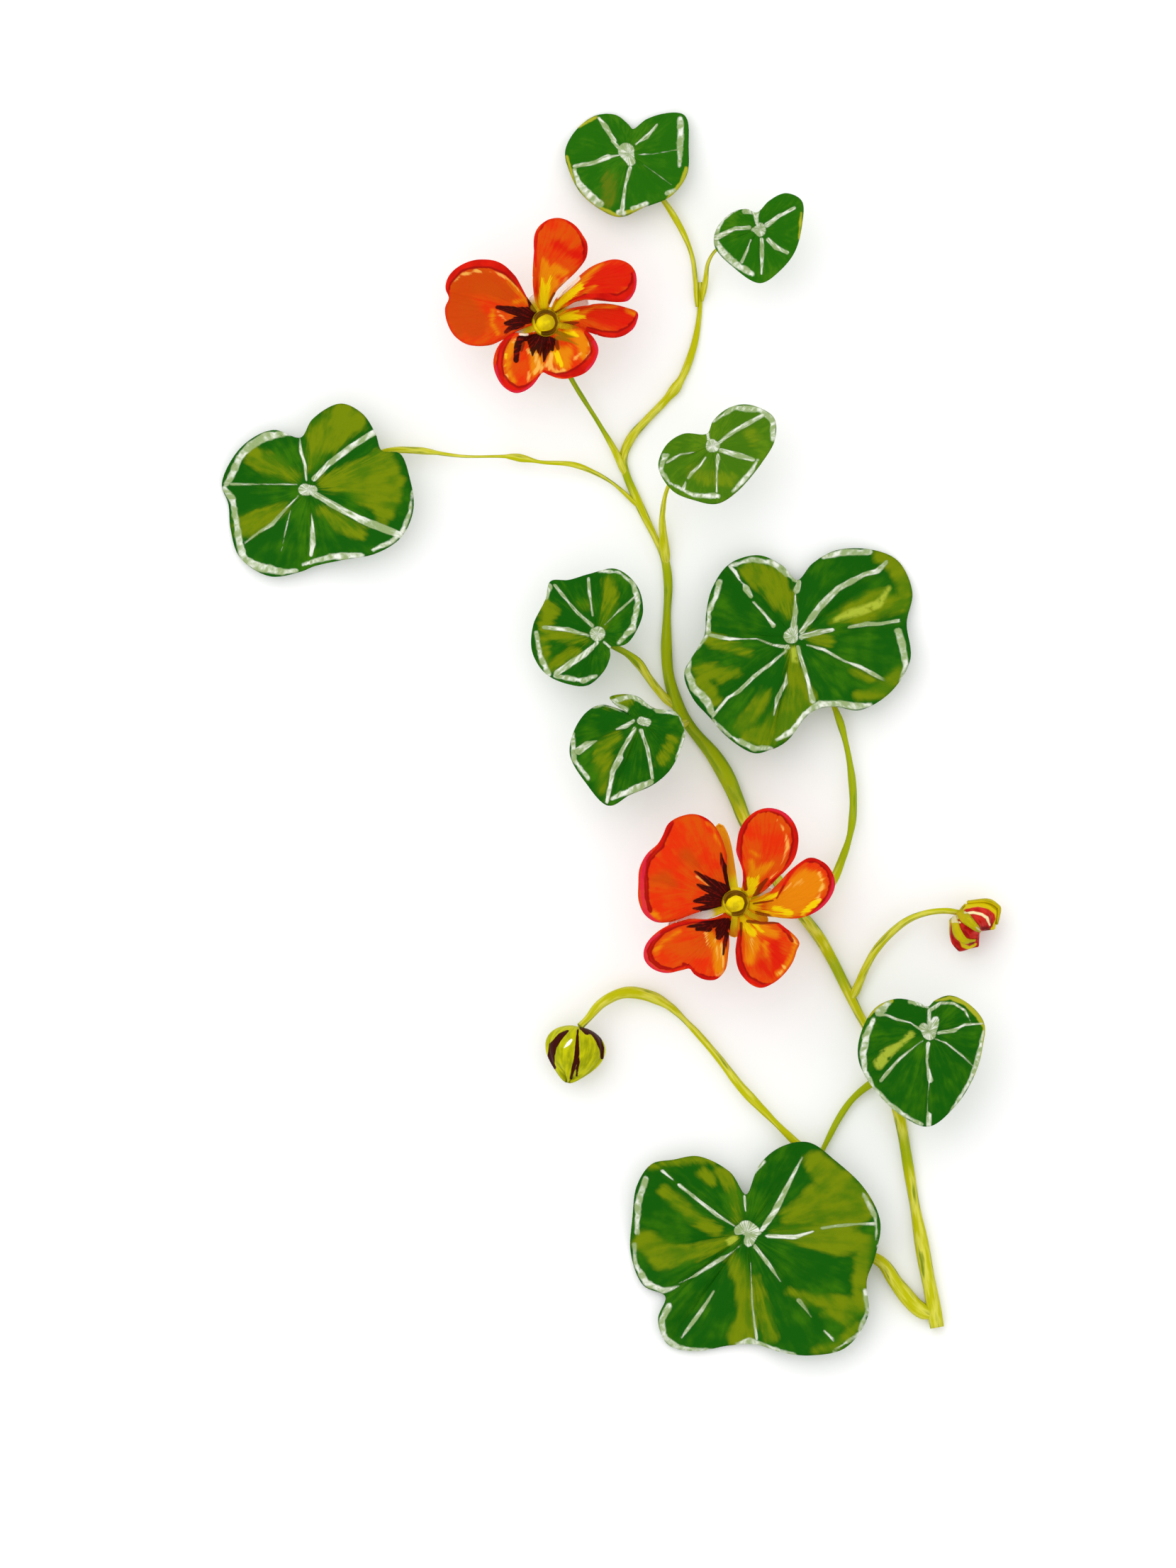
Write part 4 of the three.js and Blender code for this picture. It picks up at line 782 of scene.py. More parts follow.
def tube(sheet, route, radius_at, sides, row_length, greener=()):
    """radius_at takes the share of the way along and the millimetres from the start."""
    points = [Vector(point) for point in route]
    lengths = [0]
    for start, end in zip(points, points[1:]):
        lengths.append(lengths[-1] + (end - start).length)

    def greenness(along):
        return max((smooth(along, start, start + GREEN_FADE) * smooth(along, end, end - GREEN_FADE)
                    for start, end in greener), default=0)

    def place(u, v):
        position = v * (len(points) - 1)
        first = min(int(position), len(points) - 2)
        along = mix(lengths[first], lengths[first + 1], position - first)
        centre = on_curve(points, position)
        heading = on_curve(points, position + NEARBY) - on_curve(points, position - NEARBY)
        sideways = heading.cross(UP).normalized()
        upward = sideways.cross(heading).normalized()
        angle = 2 * math.pi * u
        uneven = UNEVENNESS * (math.sin(along * SHORT_SWELLS) + math.sin(along * LONG_SWELLS + 1))
        ridge = RIDGE_DEPTH * math.cos(RIDGES * angle + along * RIDGE_TWIST)
        radius = radius_at(v, along)
        centre.z = max(centre.z, radius * THICKEST)  # It lies on the table, never in it.
        radius *= 1 + uneven + ridge
        point = centre + radius * (sideways * math.cos(angle) + upward * math.sin(angle))
        # The edge mark is 1 at the tube's two sides as seen from above, where the finish paints shade.
        return point, {"along": along, "edge": abs(math.cos(angle)), "green": greenness(along)}

    rows = max(FEWEST_ROWS, round(lengths[-1] / row_length))
    bend_grid(sheet, sides, rows, place, rolled=True)
    return lengths[-1]


# %% [markdown]
# A stem is yellow-green with long, uneven streaks of olive. Towards its two edges it is darker with
# painted shade, where the round stem turns away from the light above. The streaks follow the mark
# that says how many millimetres along the stem a place is.

# %% Finish of the stems
def stem_finish(name, light, middle, dark):
    finish = Finish(name, roughness=0.45)
    around = finish.add("SeparateXYZ", {}, {0: finish.place("UV")})
    along = finish.mark("along")
    where = finish.add("CombineXYZ", {}, {0: around * 7, 1: along * 0.09, 2: 0.0})
    streaks = finish.noise(where, 1)
    patches = finish.noise(finish.place(), 75)
    green = finish.mark("green") * 0.6
    lighter = (streaks * 4.4 + patches * 3 - green * 0.5 + 0.5).between(0.1, 0.9)
    colour = finish.blend(lighter, middle, light)
    # Painted shade towards the two edges of the round stem, mixed with the olive streaks and patches.
    shade = finish.mark("edge") * 0.6 + streaks * 4.6 + patches * 3.4 + green * 0.4
    colour = finish.blend(shade.between(0.4, 1.4) * 0.9, colour, dark)
    colour = finish.blend(green, colour, tint(128, 156, 4))
    return finish.paint(colour, streaks, depth=0.25)


STEM_FINISH = stem_finish("stem_skin", tint(210, 206, 76), tint(180, 180, 6), tint(104, 126, 2))

# %% Make the stem
STEM_SIDES = 20
TUBE_ROW = 1.2


def stem_radius(share, _):
    return on_curve(STEM_ROUTE, share * (len(STEM_ROUTE) - 1)).z


stem_sheet = new_sheet(*TUBE_MARKS)
stem_length = tube(stem_sheet, STEM_ROUTE, stem_radius, STEM_SIDES, TUBE_ROW, GREENER["stem"])
make_piece("main_stem", stem_sheet, "stem_green", [STEM_FINISH], "stem")
print("stem length in mm:", round(stem_length))

# %% Make the side shoot and the stalks
STALK_SIDES = 14
FLARE = 0.35  # how much the root swells, as a share, before it is narrowed
FLARE_LENGTH = 3
BURIED_SHARE = 0.5  # how much of its width the buried end keeps


def stalk_radius(radii):
    """Narrow where it is buried in the stem, widest where it leaves it, and then as the list says."""
    def radius_at(_, along):
        position = min(along / RADIUS_STEP, len(radii) - 1)
        first = min(int(position), len(radii) - 2)
        radius = mix(radii[first], radii[first + 1], smooth(position, first, first + 1))
        flare = 1 + FLARE * math.exp(-along / FLARE_LENGTH)
        return radius * flare * mix(BURIED_SHARE, 1, smooth(along, 0, FLARE_LENGTH))
    return radius_at


def stalk(name, node, radii, route):
    sheet = new_sheet(*TUBE_MARKS)
    tube(sheet, route, stalk_radius(radii), STALK_SIDES, TUBE_ROW, GREENER.get(name, ()))
    return make_piece(node + "_skin", sheet, "stem_green", [STEM_FINISH], node)


stalks = [stalk("side_shoot", "side_shoot", SIDE_SHOOT_RADII, SIDE_SHOOT_ROUTE)]
for name, shape in STALKS.items():
    route = [*shape["route"], tuple(stalk_ends[name])]
    stalks.append(stalk(name, name + "_stalk", shape["radii"], route))
print("side shoot and stalks:", len(stalks))

# %% [markdown]
# ## The ribs under a leaf
#
# Seen from below, the ribs stand out like cords that run from the stalk to the rim and thin out on
# the way. Each is a thin tube sunk about halfway into the underside.

# %% Make the ribs
RIB_RADII = (0.6, 0.12)  # at the hub and at the rim
RIB_REACH = (0.02, 0.96)  # from where to where, as shares of the way from the hub to the rim
RIB_STEPS = 6
RIB_DROP = 0.3


def leaf_ribs(name):
    leaf = LEAVES[name]
    sheet = new_sheet(*TUBE_MARKS)
    shares = [mix(*RIB_REACH, step / RIB_STEPS) for step in range(RIB_STEPS + 1)]
    for position, point in enumerate(leaf["rim"]):
        if len(point) == 3:
            route = [blade_point(leaf, position, share) - UP * RIB_DROP for share in shares]
            tube(sheet, route, lambda share, _: mix(*RIB_RADII, share), sides=8, row_length=2)
    return make_piece(name + "_ribs", sheet, "leaf_green", [RIB_FINISH])


RIB_FINISH = stem_finish("rib_skin", tint(176, 192, 120), tint(150, 172, 92), tint(120, 146, 70))
ribs = [leaf_ribs(name) for name in LEAVES]
print("leaves with ribs:", len(ribs))

# %% [markdown]
# ## The flowers: their petals
#
# Each flower has five petals on narrow claws. A petal is given by the directions between which its
# claw springs from the throat, by how it lies above its neighbours, and by its outer edge as
# directions and distances from the middle of the flower.

# %% Petals, in degrees and millimetres
FLOWERS = {
    "flower_upper": [
        dict(root=(79, 117), lift=1.1, rise=0.31, wave=0.8, tip=[
            (66, 12.3), (59.5, 16), (58.5, 19.2), (62, 22.3), (67, 24), (74, 25.8), (83, 26.6),
            (91, 25.4), (96.5, 22.8), (98.5, 19), (98.5, 14)]),
        dict(root=(128, 192), lift=-0.2, rise=0.2, wave=1, tip=[
            (124, 14), (127, 18.6), (136, 23), (145, 25.7), (154, 27.2), (161, 26.9),
            (165.5, 25.4), (172, 25.8), (182, 24.7), (190, 22.9), (197, 19.8), (201.5, 15),
            (200.5, 11.4)]),
        dict(root=(216, 338), lift=1.7, rise=0.24, wave=0.9, tip=[
            (199, 8.7), (204, 12.2), (216, 16.4), (229, 18.7), (239, 19.6), (248, 19.3),
            (257, 16.8), (266, 12.8), (273, 13.3), (284, 14.7), (297, 15.6), (309, 16.2),
            (322, 15.9), (334, 14.8), (343, 12.4), (351, 9.3)]),
        dict(root=(1, 32), lift=0.1, rise=0.2, wave=0.6, tip=[
            (-11.5, 11), (-13.2, 15.5), (-11.5, 18.6), (-5, 21.9), (0.7, 23.1), (6.5, 23.3),
            (11, 20.3), (16.5, 16.5), (21.5, 12.6)]),
        dict(root=(42, 68), lift=1.1, rise=0.32, wave=0.8, tip=[
            (31.5, 12.6), (26, 16.2), (18, 18.8), (15.2, 21.4), (18.5, 23.6), (24, 25.2), (30, 26),
            (36, 25.6), (42, 23.8), (46.5, 21), (50.5, 18), (54, 14)]),
    ],
    "flower_lower": [
        dict(root=(20, 68), lift=0.9, rise=0.3, wave=0.8, tip=[
            (33, 14), (36, 17.8), (43, 21.6), (50, 24.2), (58, 25.8), (66, 26), (74, 24.9),
            (81, 22.4), (86.5, 18.4), (88.5, 13.5)]),
        dict(root=(110, 193), lift=0.3, rise=0.22, wave=1.2, tip=[
            (101, 12.5), (103, 17.5), (107, 21.5), (114, 24.6), (122, 26), (130, 26.4),
            (137, 25.2), (143, 24.8), (151, 25.7), (160, 25.9), (169, 25.1), (179, 24.5),
            (188, 22.9), (194, 20), (195.5, 16.5), (192, 13)]),
        dict(root=(221, 254), lift=0.9, rise=0.26, wave=0.8, tip=[
            (199.5, 12.5), (198.5, 18), (203.5, 24.2), (210, 26.9), (217, 27), (225, 25),
            (231, 21.8), (234.5, 20.3), (240, 20.8), (249, 20.8), (256.5, 19.6), (261, 16.5),
            (260.5, 12)]),
        dict(root=(-82, -48), lift=0.3, rise=0.24, wave=0.8, tip=[
            (-89.5, 11.5), (-88, 16), (-82, 19.8), (-74, 22.3), (-65, 22.4), (-56, 21.8),
            (-46, 20.8), (-38, 19.6), (-31.5, 18.8), (-27.5, 15.6), (-25, 12)]),
        dict(root=(-28, 11), lift=1.2, rise=0.34, wave=0.8, tip=[
            (-18, 11.5), (-13, 16.3), (-6, 20.4), (2, 23.6), (10, 25.5), (18, 25.6), (26, 24.3),
            (31.5, 21.6), (30.5, 17.2), (23.5, 13.5)]),
    ],
}

# %% Strokes on the petals
PETAL_MARKS = {
    "flower_upper_petal_1": {
        "red": "28 202 12, 58 178 8, 88 169 8; 98 208 6, 101 178 7, 88 148 5",
        "amber": "-5 157 5, 4 118 23, 16 79 22; 28 133 16, 50 127 8",
        "yellow": "-5 40 11, -7 76 8, -8 111 2; 2 58 5, 5 88 3, 12 118 1",
        "cream": "52 112 2, 35 88 2",
        "crimson":
            "52 260 2, 82 232 3, 101 190 5, 99 154 5, 76 120 3, 52 100 2; 4 261 2, -21 226 3, -28 184 4, "
            "-25 142 2",
        "brown": "11 51 4, 23 74 2",
    },
    "flower_upper_petal_2": {
        "burnt": "-218 94 30, -164 106 37, -98 76 24; -218 46 36, -182 -2 36; -230 16 24, -218 -26 14",
        "amber": "-134 28 2, -137 -2 5, -122 -26 3; -92 106 5, -56 70 6, -50 52 4; -80 52 3, -56 58 4",
        "cream": "-236 102 1, -218 120 1, -176 131 1, -128 128 1, -92 107 1, -68 84 1; -122 27 1, -102 6 1",
        "crimson":
            "-253 61 3, -245 103 7, -218 138 10, -182 149 11, -140 148 11, -98 132 11, -68 103 12, -46 75 "
            "9, -30 49 5",
        "dark":
            "-124 39 4, -98 34 9, -68 27 13, -38 25 16; -45 67 3, -37 49 8, -32 31 10; -44 10 13, -77 1 14, "
            "-102 -2 5; -62 -5 10, -90 -14 8, -104 -26 4",
        "white": "-54 97 2, -36 73 4, -25 46 4",
        "olive": "-32 39 8, -27 34 7",
    },
    "flower_upper_petal_3": {
        "amber":
            "-86 -57 11, -97 -89 10, -97 -121 8, -83 -149 4; -24 -71 16, -24 -103 18, -29 -126 9; 35 -21 "
            "14, 77 -30 16, 97 -57 16, 95 -80 11; 22 -85 21, 54 -76 14, 45 -108 14",
        "yellow": "26 -80 9, 38 -108 5; 54 -21 8, 77 -30 5; -101 -85 3, -103 -117 3",
        "cream":
            "-45 -71 4, -24 -85 5, -17 -115 7, -26 -126 5; 15 -80 5, 8 -108 10, 26 -126 4, 49 -121 2; -77 "
            "-44 3, -83 -48 2; -105 -85 1, -106 -121 2, -97 -147 2; 111 -44 1, 114 -67 2, 106 -92 2; -10 "
            "-131 3, 13 -137 2, 35 -142 3; 72 -94 2, 90 -76 1; -45 -126 2, -42 -149 2",
        "crimson":
            "-77 -23 3, -97 -44 6, -113 -71 8, -118 -108 9, -113 -137 9, -95 -160 10, -72 -173 9, -49 -167 "
            "7, -31 -151 5, -15 -133 2; -3 -125 3, 26 -134 5, 54 -132 7, 81 -124 11, 106 -105 12, 125 -78 "
            "11, 119 -51 8, 102 -25 4",
        "pink":
            "-126 -108 2, -123 -137 3, -109 -165 4, -86 -179 5, -61 -179 5, -38 -165 5, -17 -140 2; 122 -48 "
            "3, 133 -76 5, 122 -103 5, 104 -121 4",
        "dark":
            "-45 -37 8, -66 -42 8, -73 -62 8, -76 -96 7; -56 -39 8, -24 -39 12, 8 -45 10, 22 -44 5; -38 -48 "
            "11, -33 -69 8, -34 -85 2; -17 -48 16, -15 -71 9, -14 -89 1; 3 -51 16, 1 -71 11, -5 -99 2; 15 "
            "-53 9, 16 -69 6",
        "brown": "26 -48 7, 31 -67 5; -61 -53 7, -63 -71 4",
        "olive": "26 -23 5, 45 -32 8, 77 -38 1; 29 -39 6, 54 -44 5, 83 -57 1",
        "white": "-70 -22 3, -51 -16 10, -31 -19 5; -65 -30 3, -49 -29 4",
    },
    "flower_upper_petal_4": {
        "red": "82 30 13, 148 22 34, 208 10 28",
        "yellow": "28 4 10, 61 15 13, 98 14 5; 46 23 5, 82 30 4",
        "amber": "88 22 7, 124 40 3, 178 43 3; 208 34 4, 226 22 3",
        "crimson": "106 -15 4, 142 -29 9, 184 -35 12, 214 -19 12, 230 8 6, 233 25 2",
        "pink": "211 -29 3, 230 -5 4, 234 21 2",
        "brown": "41 -4 4, 64 -3 6, 83 -1 2",
    },
    "flower_upper_petal_5": {
        "red": "100 88 14, 148 112 31, 196 118 34; 112 76 7, 184 88 18",
        "yellow": "18 33 7, 52 64 13, 86 90 8",
        "amber": "88 100 7, 112 124 5, 142 148 3; 100 76 3, 124 91 3",
        "crimson": "61 53 2, 100 68 5, 148 65 9, 184 59 13, 211 75 12, 223 100 7, 221 124 4",
        "pink": "226 124 3, 231 100 5, 224 72 5, 202 53 4",
        "brown": "24 23 5, 52 35 6, 64 40 2",
        "white": "26 62 2, 52 84 4, 83 111 5",
    },
    "flower_lower_petal_1": {
        "amber": "40 104 8, 47 70 15, 71 87 12, 96 101 5; 56 121 5, 40 132 3",
        "yellow": "41 13 11, 40 53 12; 47 42 6, 58 67 3",
        "cream": "107 210 1, 127 177 1, 131 143 1, 118 104 1, 90 67 1",
        "crimson":
            "51 227 3, 26 205 6, 11 166 7, 9 121 7, 17 76 6, 26 36 4; 51 229 3, 85 238 5, 121 225 7, 147 "
            "194 9, 153 160 9, 144 121 8, 123 81 6, 93 53 3",
        "pink": "5 132 2, 6 98 5, 16 59 5; 73 241 2, 113 235 5, 141 208 3",
        "brown": "50 17 6, 65 42 7, 81 62 3",
    },
    "flower_lower_petal_2": {
        "burnt": "-208 59 8, -180 65 15, -158 48 8; -124 121 17, -101 98 11",
        "amber": "-211 -26 3, -194 -39 3; -51 172 2, -39 149 2; -68 205 2, -51 189 2",
        "crimson":
            "-161 205 5, -176 176 7, -189 145 7, -220 111 6, -230 81 6, -226 48 6, -226 14 5, -217 -19 5; "
            "-96 225 2, -56 207 5, -35 180 5, -21 143 5, -15 104 5, -10 53 5, -11 34 2",
        "pink":
            "-186 183 1, -203 150 2, -230 109 3, -237 65 5, -237 19 5, -230 -21 6, -211 -46 6, -183 -55 3",
        "dark":
            "-16 30 14, -62 53 10, -104 81 3; -22 17 12, -62 32 10, -96 47 4; -28 3 15, -73 9 14, -106 5 3; "
            "-31 -12 8, -73 -13 8, -107 -14 3; -13 39 10, -24 81 8, -33 104 5, -37 129 2; -28 19 19, -51 22 "
            "17",
        "cream": "-96 69 2, -68 42 1",
    },
    "flower_lower_petal_3": {
        "amber":
            "-65 -82 9, -47 -116 15, -37 -167 14; -26 -105 5, -25 -161 5; -203 -121 4, -183 -97 5, -141 -71 "
            "2",
        "cream":
            "-77 -76 3, -70 -107 2; -52 -93 3, -44 -144 2; -36 -105 2, -33 -161 2; -45 -183 2, -30 -172 2",
        "crimson":
            "-28 -40 3, -68 -44 3, -124 -50 4, -158 -59 5, -186 -76 5, -208 -99 6, -220 -121 6, -214 -143 "
            "6, -192 -162 5, -158 -169 4, -132 -161 3; -132 -154 3, -121 -161 6, -101 -181 5, -68 -191 5, "
            "-42 -189 2",
        "pink": "-192 -77 2, -219 -98 3, -232 -121 5, -225 -150 6, -200 -171 5, -166 -178 3",
        "dark":
            "-125 -61 2, -96 -56 7, -56 -52 11, -20 -46 8; -21 -52 11, -35 -68 17, -43 -87 8; -99 -65 5, "
            "-68 -65 8; -22 -76 5, -27 -99 5, -31 -130 2",
    },
    "flower_lower_petal_4": {
        "amber":
            "34 -71 15, 45 -105 18, 37 -144 12; 68 -65 16, 102 -79 9; 144 -76 9, 155 -105 8, 141 -144 6, "
            "111 -180 5; 73 -105 5, 79 -133 3",
        "yellow": "29 -59 8, 45 -76 8; 51 -54 5, 68 -71 3",
        "red": "102 -105 14, 107 -150 19; 68 -155 17, 90 -183 11",
        "cream": "40 -93 2, 45 -127 2; 147 -88 2, 156 -105 2; 124 -161 2, 113 -178 2",
        "crimson":
            "12 -71 3, 7 -105 6, 10 -150 8, 27 -190 9, 68 -209 6, 102 -206 3; 104 -49 3, 131 -72 5, 144 -96 "
            "3",
        "brown": "31 -46 4, 68 -49 5, 106 -50 3; 14 -52 4, 12 -82 3",
    },
    "flower_lower_petal_5": {
        "amber": "96 -10 19, 147 14 34, 192 48 34; 124 -28 10, 175 -14 14; 147 53 11, 175 76 11",
        "yellow":
            "45 8 8, 73 14 9, 105 22 6; 34 -27 8, 79 -32 11, 127 -40 6; 102 -14 9, 138 -23 8; 209 8 5, 169 "
            "-26 5",
        "cream": "212 76 2, 221 48 3, 209 14 2; 147 42 2, 169 59 2; 124 31 2, 141 48 2",
        "crimson":
            "105 13 2, 127 53 3, 149 90 5, 175 109 6, 209 110 7, 238 86 8, 246 51 7, 233 16 5, 209 -12 4, "
            "182 -31 2",
        "pink": "249 65 3, 247 34 5, 229 3 4, 196 -25 2",
        "brown": "47 -1 3, 96 7 2; 52 -23 3, 85 -35 5, 127 -44 2",
    },
}

# %% [markdown]
# A petal's own pattern is in strokes too: the dark fingers that lead an insect to the throat, the
# brown lines on a claw, and a crimson margin. The red line along the very edge needs no strokes: it
# follows the distance to the petal's outline.

# %% Shape of a petal
PETAL_ROOT = 3.6
PETAL_ACROSS = 84
PETAL_ALONG = 64
PETAL_THICKNESS = 0.5
PETAL_LIFTED = (0.1, 0.5)  # where along the petal its lift begins and is complete
PETAL_DROOP = 0.35  # the share of its slope that is lost at the tip
PETAL_HOLLOW = 0.9  # how far its sides stand above its middle
HOLLOW_LOST = 0.5  # the share of the hollow that is lost at the tip
PETAL_WAVE_TURN = 2.6 * math.pi
OUTLINE_STEPS = 48
PETAL_MARK_NAMES = ("red", "burnt", "amber", "yellow", "cream", "crimson", "pink", "brown",
                    "dark", "olive", "white")


def petal_point(petal, across, share):
    edge_degrees, reach = on_curve(petal["tip"], across * (len(petal["tip"]) - 1))
    side = 2 * across - 1
    turn = math.radians(mix(mix(*petal["root"], across), edge_degrees, smooth(share, 0, 1)))
    distance = mix(PETAL_ROOT, reach, share)
    lift = petal["lift"] * smooth(share, *PETAL_LIFTED)
    slope = petal["rise"] * (distance - PETAL_ROOT) * (1 - PETAL_DROOP * share)
    hollow = PETAL_HOLLOW * side**2 * smooth(share, 0, 0.5) * (1 - HOLLOW_LOST * share)
    wave = petal["wave"] * share**3 * math.sin(PETAL_WAVE_TURN * across + petal["lift"] * 3)
    return polar(distance, turn, lift + slope + hollow + wave)


def petal_edge(petal, middle):
    """The petal's outline as one stroke without width: up one side, round the tip and back."""
    steps = [step / OUTLINE_STEPS for step in range(OUTLINE_STEPS + 1)]
    border = [petal_point(petal, 0, share) for share in steps[::3]]
    border += [petal_point(petal, share, 1) for share in steps]
    border += [petal_point(petal, 1, share) for share in reversed(steps[::3])]
    return cones_of([[(*(middle + point).xy, 0) for point in border]])


# %% [markdown]
# ## The petals' finish
#
# A nasturtium petal is a thin, silky sheet. Fine lines run from its claw to its edge, and its orange
# deepens in clouds. The layers go on as a painter would put them: the ground colour, warm clouds, the
# yellow claw, the red margin, then the dark fingers, and last a few olive and white touches. Each has
# an edge that is drawn out along the petal.

# %% Finish of the petals
def petal_finish():
    finish = Finish("petal_silk", roughness=0.5)
    streaks = finish.noise(finish.place("UV"), 1, (34, 3, 1))
    clouds = finish.noise(finish.place(), 170)
    grain = finish.noise(finish.place(), 1500, detail=2)
    ragged = streaks * 2.2 + clouds * 1.2

    warm = (clouds * 2.2 + streaks * 1.4 + 0.5).between(0.1, 0.9)
    colour = finish.blend(warm, tint(216, 44, 0), tint(208, 74, 0))
    soft_layers = (  # mark, width of its edge, strength, colour
        ("red", 2.2, 0.85, tint(206, 14, 0)),
        ("burnt", 2.6, 0.8, tint(188, 66, 0)),
        ("amber", 1.6, 0.9, tint(218, 128, 0)),
        ("yellow", 0.6, 0.95, tint(232, 196, 0)),
        ("cream", 0.7, 0.7, tint(240, 186, 84)),
    )
    for mark, softness, strength, shade in soft_layers:
        mask = finish.fade(mark, ragged * 1.2, softness / 2, -softness / 2)
        colour = finish.blend(mask * strength, colour, shade)
    throat = finish.fade("throat", ragged * 2.2, 7.8, 4.8) * 0.92
    colour = finish.blend(throat * finish.mark("claw_yellow"), colour, tint(228, 190, 0))
    edge = finish.fade("edge", ragged * 0.35, 0.75, 0.3)
    colour = finish.blend(edge * 0.5, colour, tint(204, 34, 0))

    margin_red = finish.blend((clouds * 2.6 + 0.5).between(0, 1), tint(178, 4, 0), tint(212, 20, 4))
    inner_line = finish.fade("crimson", clouds * 0.5, -0.7, -0.25)
    inner_line = inner_line * finish.mark("edge").between(0.5, 0.9)
    margin_red = finish.blend(inner_line * 0.8, margin_red, tint(136, 0, 0))
    finger_red = (streaks * 3 + grain + 0.4).between(0.4, 1)
    finger_red = finish.blend(finger_red, tint(42, 0, 0), tint(120, 8, 2))
    crisp_layers = (  # mark, what roughens its edge, where it is empty and full, strength, colour
        ("crimson", ragged * 0.3, 0.22, -0.1, 0.95, margin_red),
        ("pink", clouds * 0.6, 0.25, -0.2, 0.75, tint(208, 34, 62)),
        ("brown", ragged * 0.15, 0.12, -0.12, 0.85, tint(112, 34, 0)),
        ("dark", ragged * 0.35, 0.15, -0.15, 0.98, finger_red),
        ("olive", ragged * 0.2, 0.2, -0.3, 0.85, tint(140, 106, 0)),
        ("white", ragged * 0.25, 0.12, -0.12, 0.85, tint(246, 226, 200)),
    )
    for mark, roughening, empty, full, strength, shade in crisp_layers:
        mask = finish.fade(mark, roughening, empty, full)
        colour = finish.blend(mask * strength, colour, shade)
    return finish.paint(colour, streaks + grain * 0.4, depth=0.3)


PETAL_FINISH = petal_finish()
YELLOW_CLAWS = (1, 4, 5)


# %% Make the petals
def make_petal(flower, number):
    petal = FLOWERS[flower][number - 1]
    middle = FLOWER_PLACES[flower]
    name = f"{flower}_petal_{number}"
    cones = mark_cones(PETAL_MARKS[name], PETAL_MARK_NAMES, middle)
    cones["edge"] = petal_edge(petal, middle)
    claw_yellow = 1 if number in YELLOW_CLAWS else 0

    def place(u, v):
        point = middle + petal_point(petal, u, v)
        throat = (point - middle).xy.length
        return point, marks_at(point, cones) | {"throat": throat, "claw_yellow": claw_yellow}

    sheet = new_sheet(*PETAL_MARK_NAMES, "edge", "throat", "claw_yellow")
    bend_grid(sheet, PETAL_ACROSS, PETAL_ALONG, place)
    return make_piece(name + "_silk", sheet, "petal_orange", [PETAL_FINISH], name,
                      thickness=PETAL_THICKNESS)


petals = [make_petal(flower, number) for flower in FLOWERS for number in range(1, 6)]
print("petals:", len(petals))

# %% [markdown]
# ## Behind and inside the flower
#
# The five sepals are grown together into a cup. Its rim spreads in five pointed tips between the
# petals, and its back runs out into the long hollow spur that holds the nectar. In front, a round,
# yellow-green seed case stands in a low collar.

# %% Shape of the cup and the seed case
CUP_PROFILE = [
    (0.05, -CUP_DEPTH), (1.3, -8.3), (1.7, -6.4), (2.5, -4.2), (4.1, -1.7), (4.0, -0.9), (0.05, -0.8)]
SEED_CASE_PROFILE = [
    (2.2, 0.4), (2.55, 0.9), (2.6, 1.5), (2.35, 2.4), (1.5, 3.4), (0.8, 3.8), (0.02, 3.95)]
COLLAR_PROFILE = [(2.3, -0.4), (3, -0.3), (3.3, 0.3), (3.1, 1), (2.6, 1.2), (2.2, 0.6)]
# Brown crescents of painted shade, in the gap between the seed case and its collar.
PAINTED_SHADE_RADIUS = 2.6
PAINTED_SHADE_TOP = 2  # above this height the crescent fades
PAINTED_SHADE_WIDTHS = [  # direction in degrees, half width
    (-95, 0.9), (-70, 1.1), (-40, 0.7), (0, 0.6), (40, 0.8), (90, 1.3), (130, 1.4), (155, 0.8),
    (180, 0.3)]
PAINTED_SHADE_CRESCENT = cones_of([[(*polar(PAINTED_SHADE_RADIUS, math.radians(degrees)).xy, half_width)
                      for degrees, half_width in PAINTED_SHADE_WIDTHS]])


def turned(profile, middle):
    """A profile of (distance, height) turned once about the flower's axis."""
    def place(u, v):
        distance, height = on_curve(profile, v * (len(profile) - 1))
        offset = polar(distance, 2 * math.pi * u, height)
        # The painted shade fades above the gap, up the side of the seed case.
        above = max(0, height - PAINTED_SHADE_TOP) * 0.8
        return middle + offset, {"crescent": stroke_distance(offset, PAINTED_SHADE_CRESCENT) + above,
                                 "reach": distance}
    return place


# %% Shape of the sepals and the spur
SEPALS = {  # direction in degrees, distance of the tip
    "flower_upper": [(112, 8), (50, 13), (28, 12), (-12, 10), (203, 9.5)],
    "flower_lower": [(102, 20.5), (14, 10.5), (-34, 9.5), (268, 8.5), (198, 18)],
}
AMBER_TIPPED = {"flower_upper": (4,), "flower_lower": (1, 3, 4)}
SEPAL_ROOT = 2.7
SEPAL_HALF_WIDTHS = (1.265, 2.645)  # at the root and at the tip, before the tip is rounded off
SEPAL_HEIGHT = -1.6
SEPAL_SLOPE = 0.07
SEPAL_DROOP = 0.9
SEPAL_HOLLOW = 0.3
SEPAL_THICKNESS = 0.5
SPUR_DIRECTIONS = {"flower_upper": 168, "flower_lower": 160}
SPUR_ROUTE = [(1, 0, -3), (4, 0, -4.6), (8.5, 0, -7.2), (13.5, 0, -10.6), (19, 0, -14.6)]
SPUR_RADII = (2.1, 0.45)


def sepal_place(degrees, reach, middle):
    turning = Matrix.Rotation(math.radians(degrees), 3, "Z")

    def place(u, v):
        side = 2 * u - 1
        half_width = mix(*SEPAL_HALF_WIDTHS, v) * math.sqrt(max(0, 1 - v**4))
        distance = mix(SEPAL_ROOT, reach, v)
        height = SEPAL_HEIGHT + SEPAL_SLOPE * distance - SEPAL_DROOP * v**2 + SEPAL_HOLLOW * side**2
        offset = turning @ Vector((distance, half_width * side, height))
        return middle + offset, {"crescent": FAR_AWAY, "reach": distance}
    return place
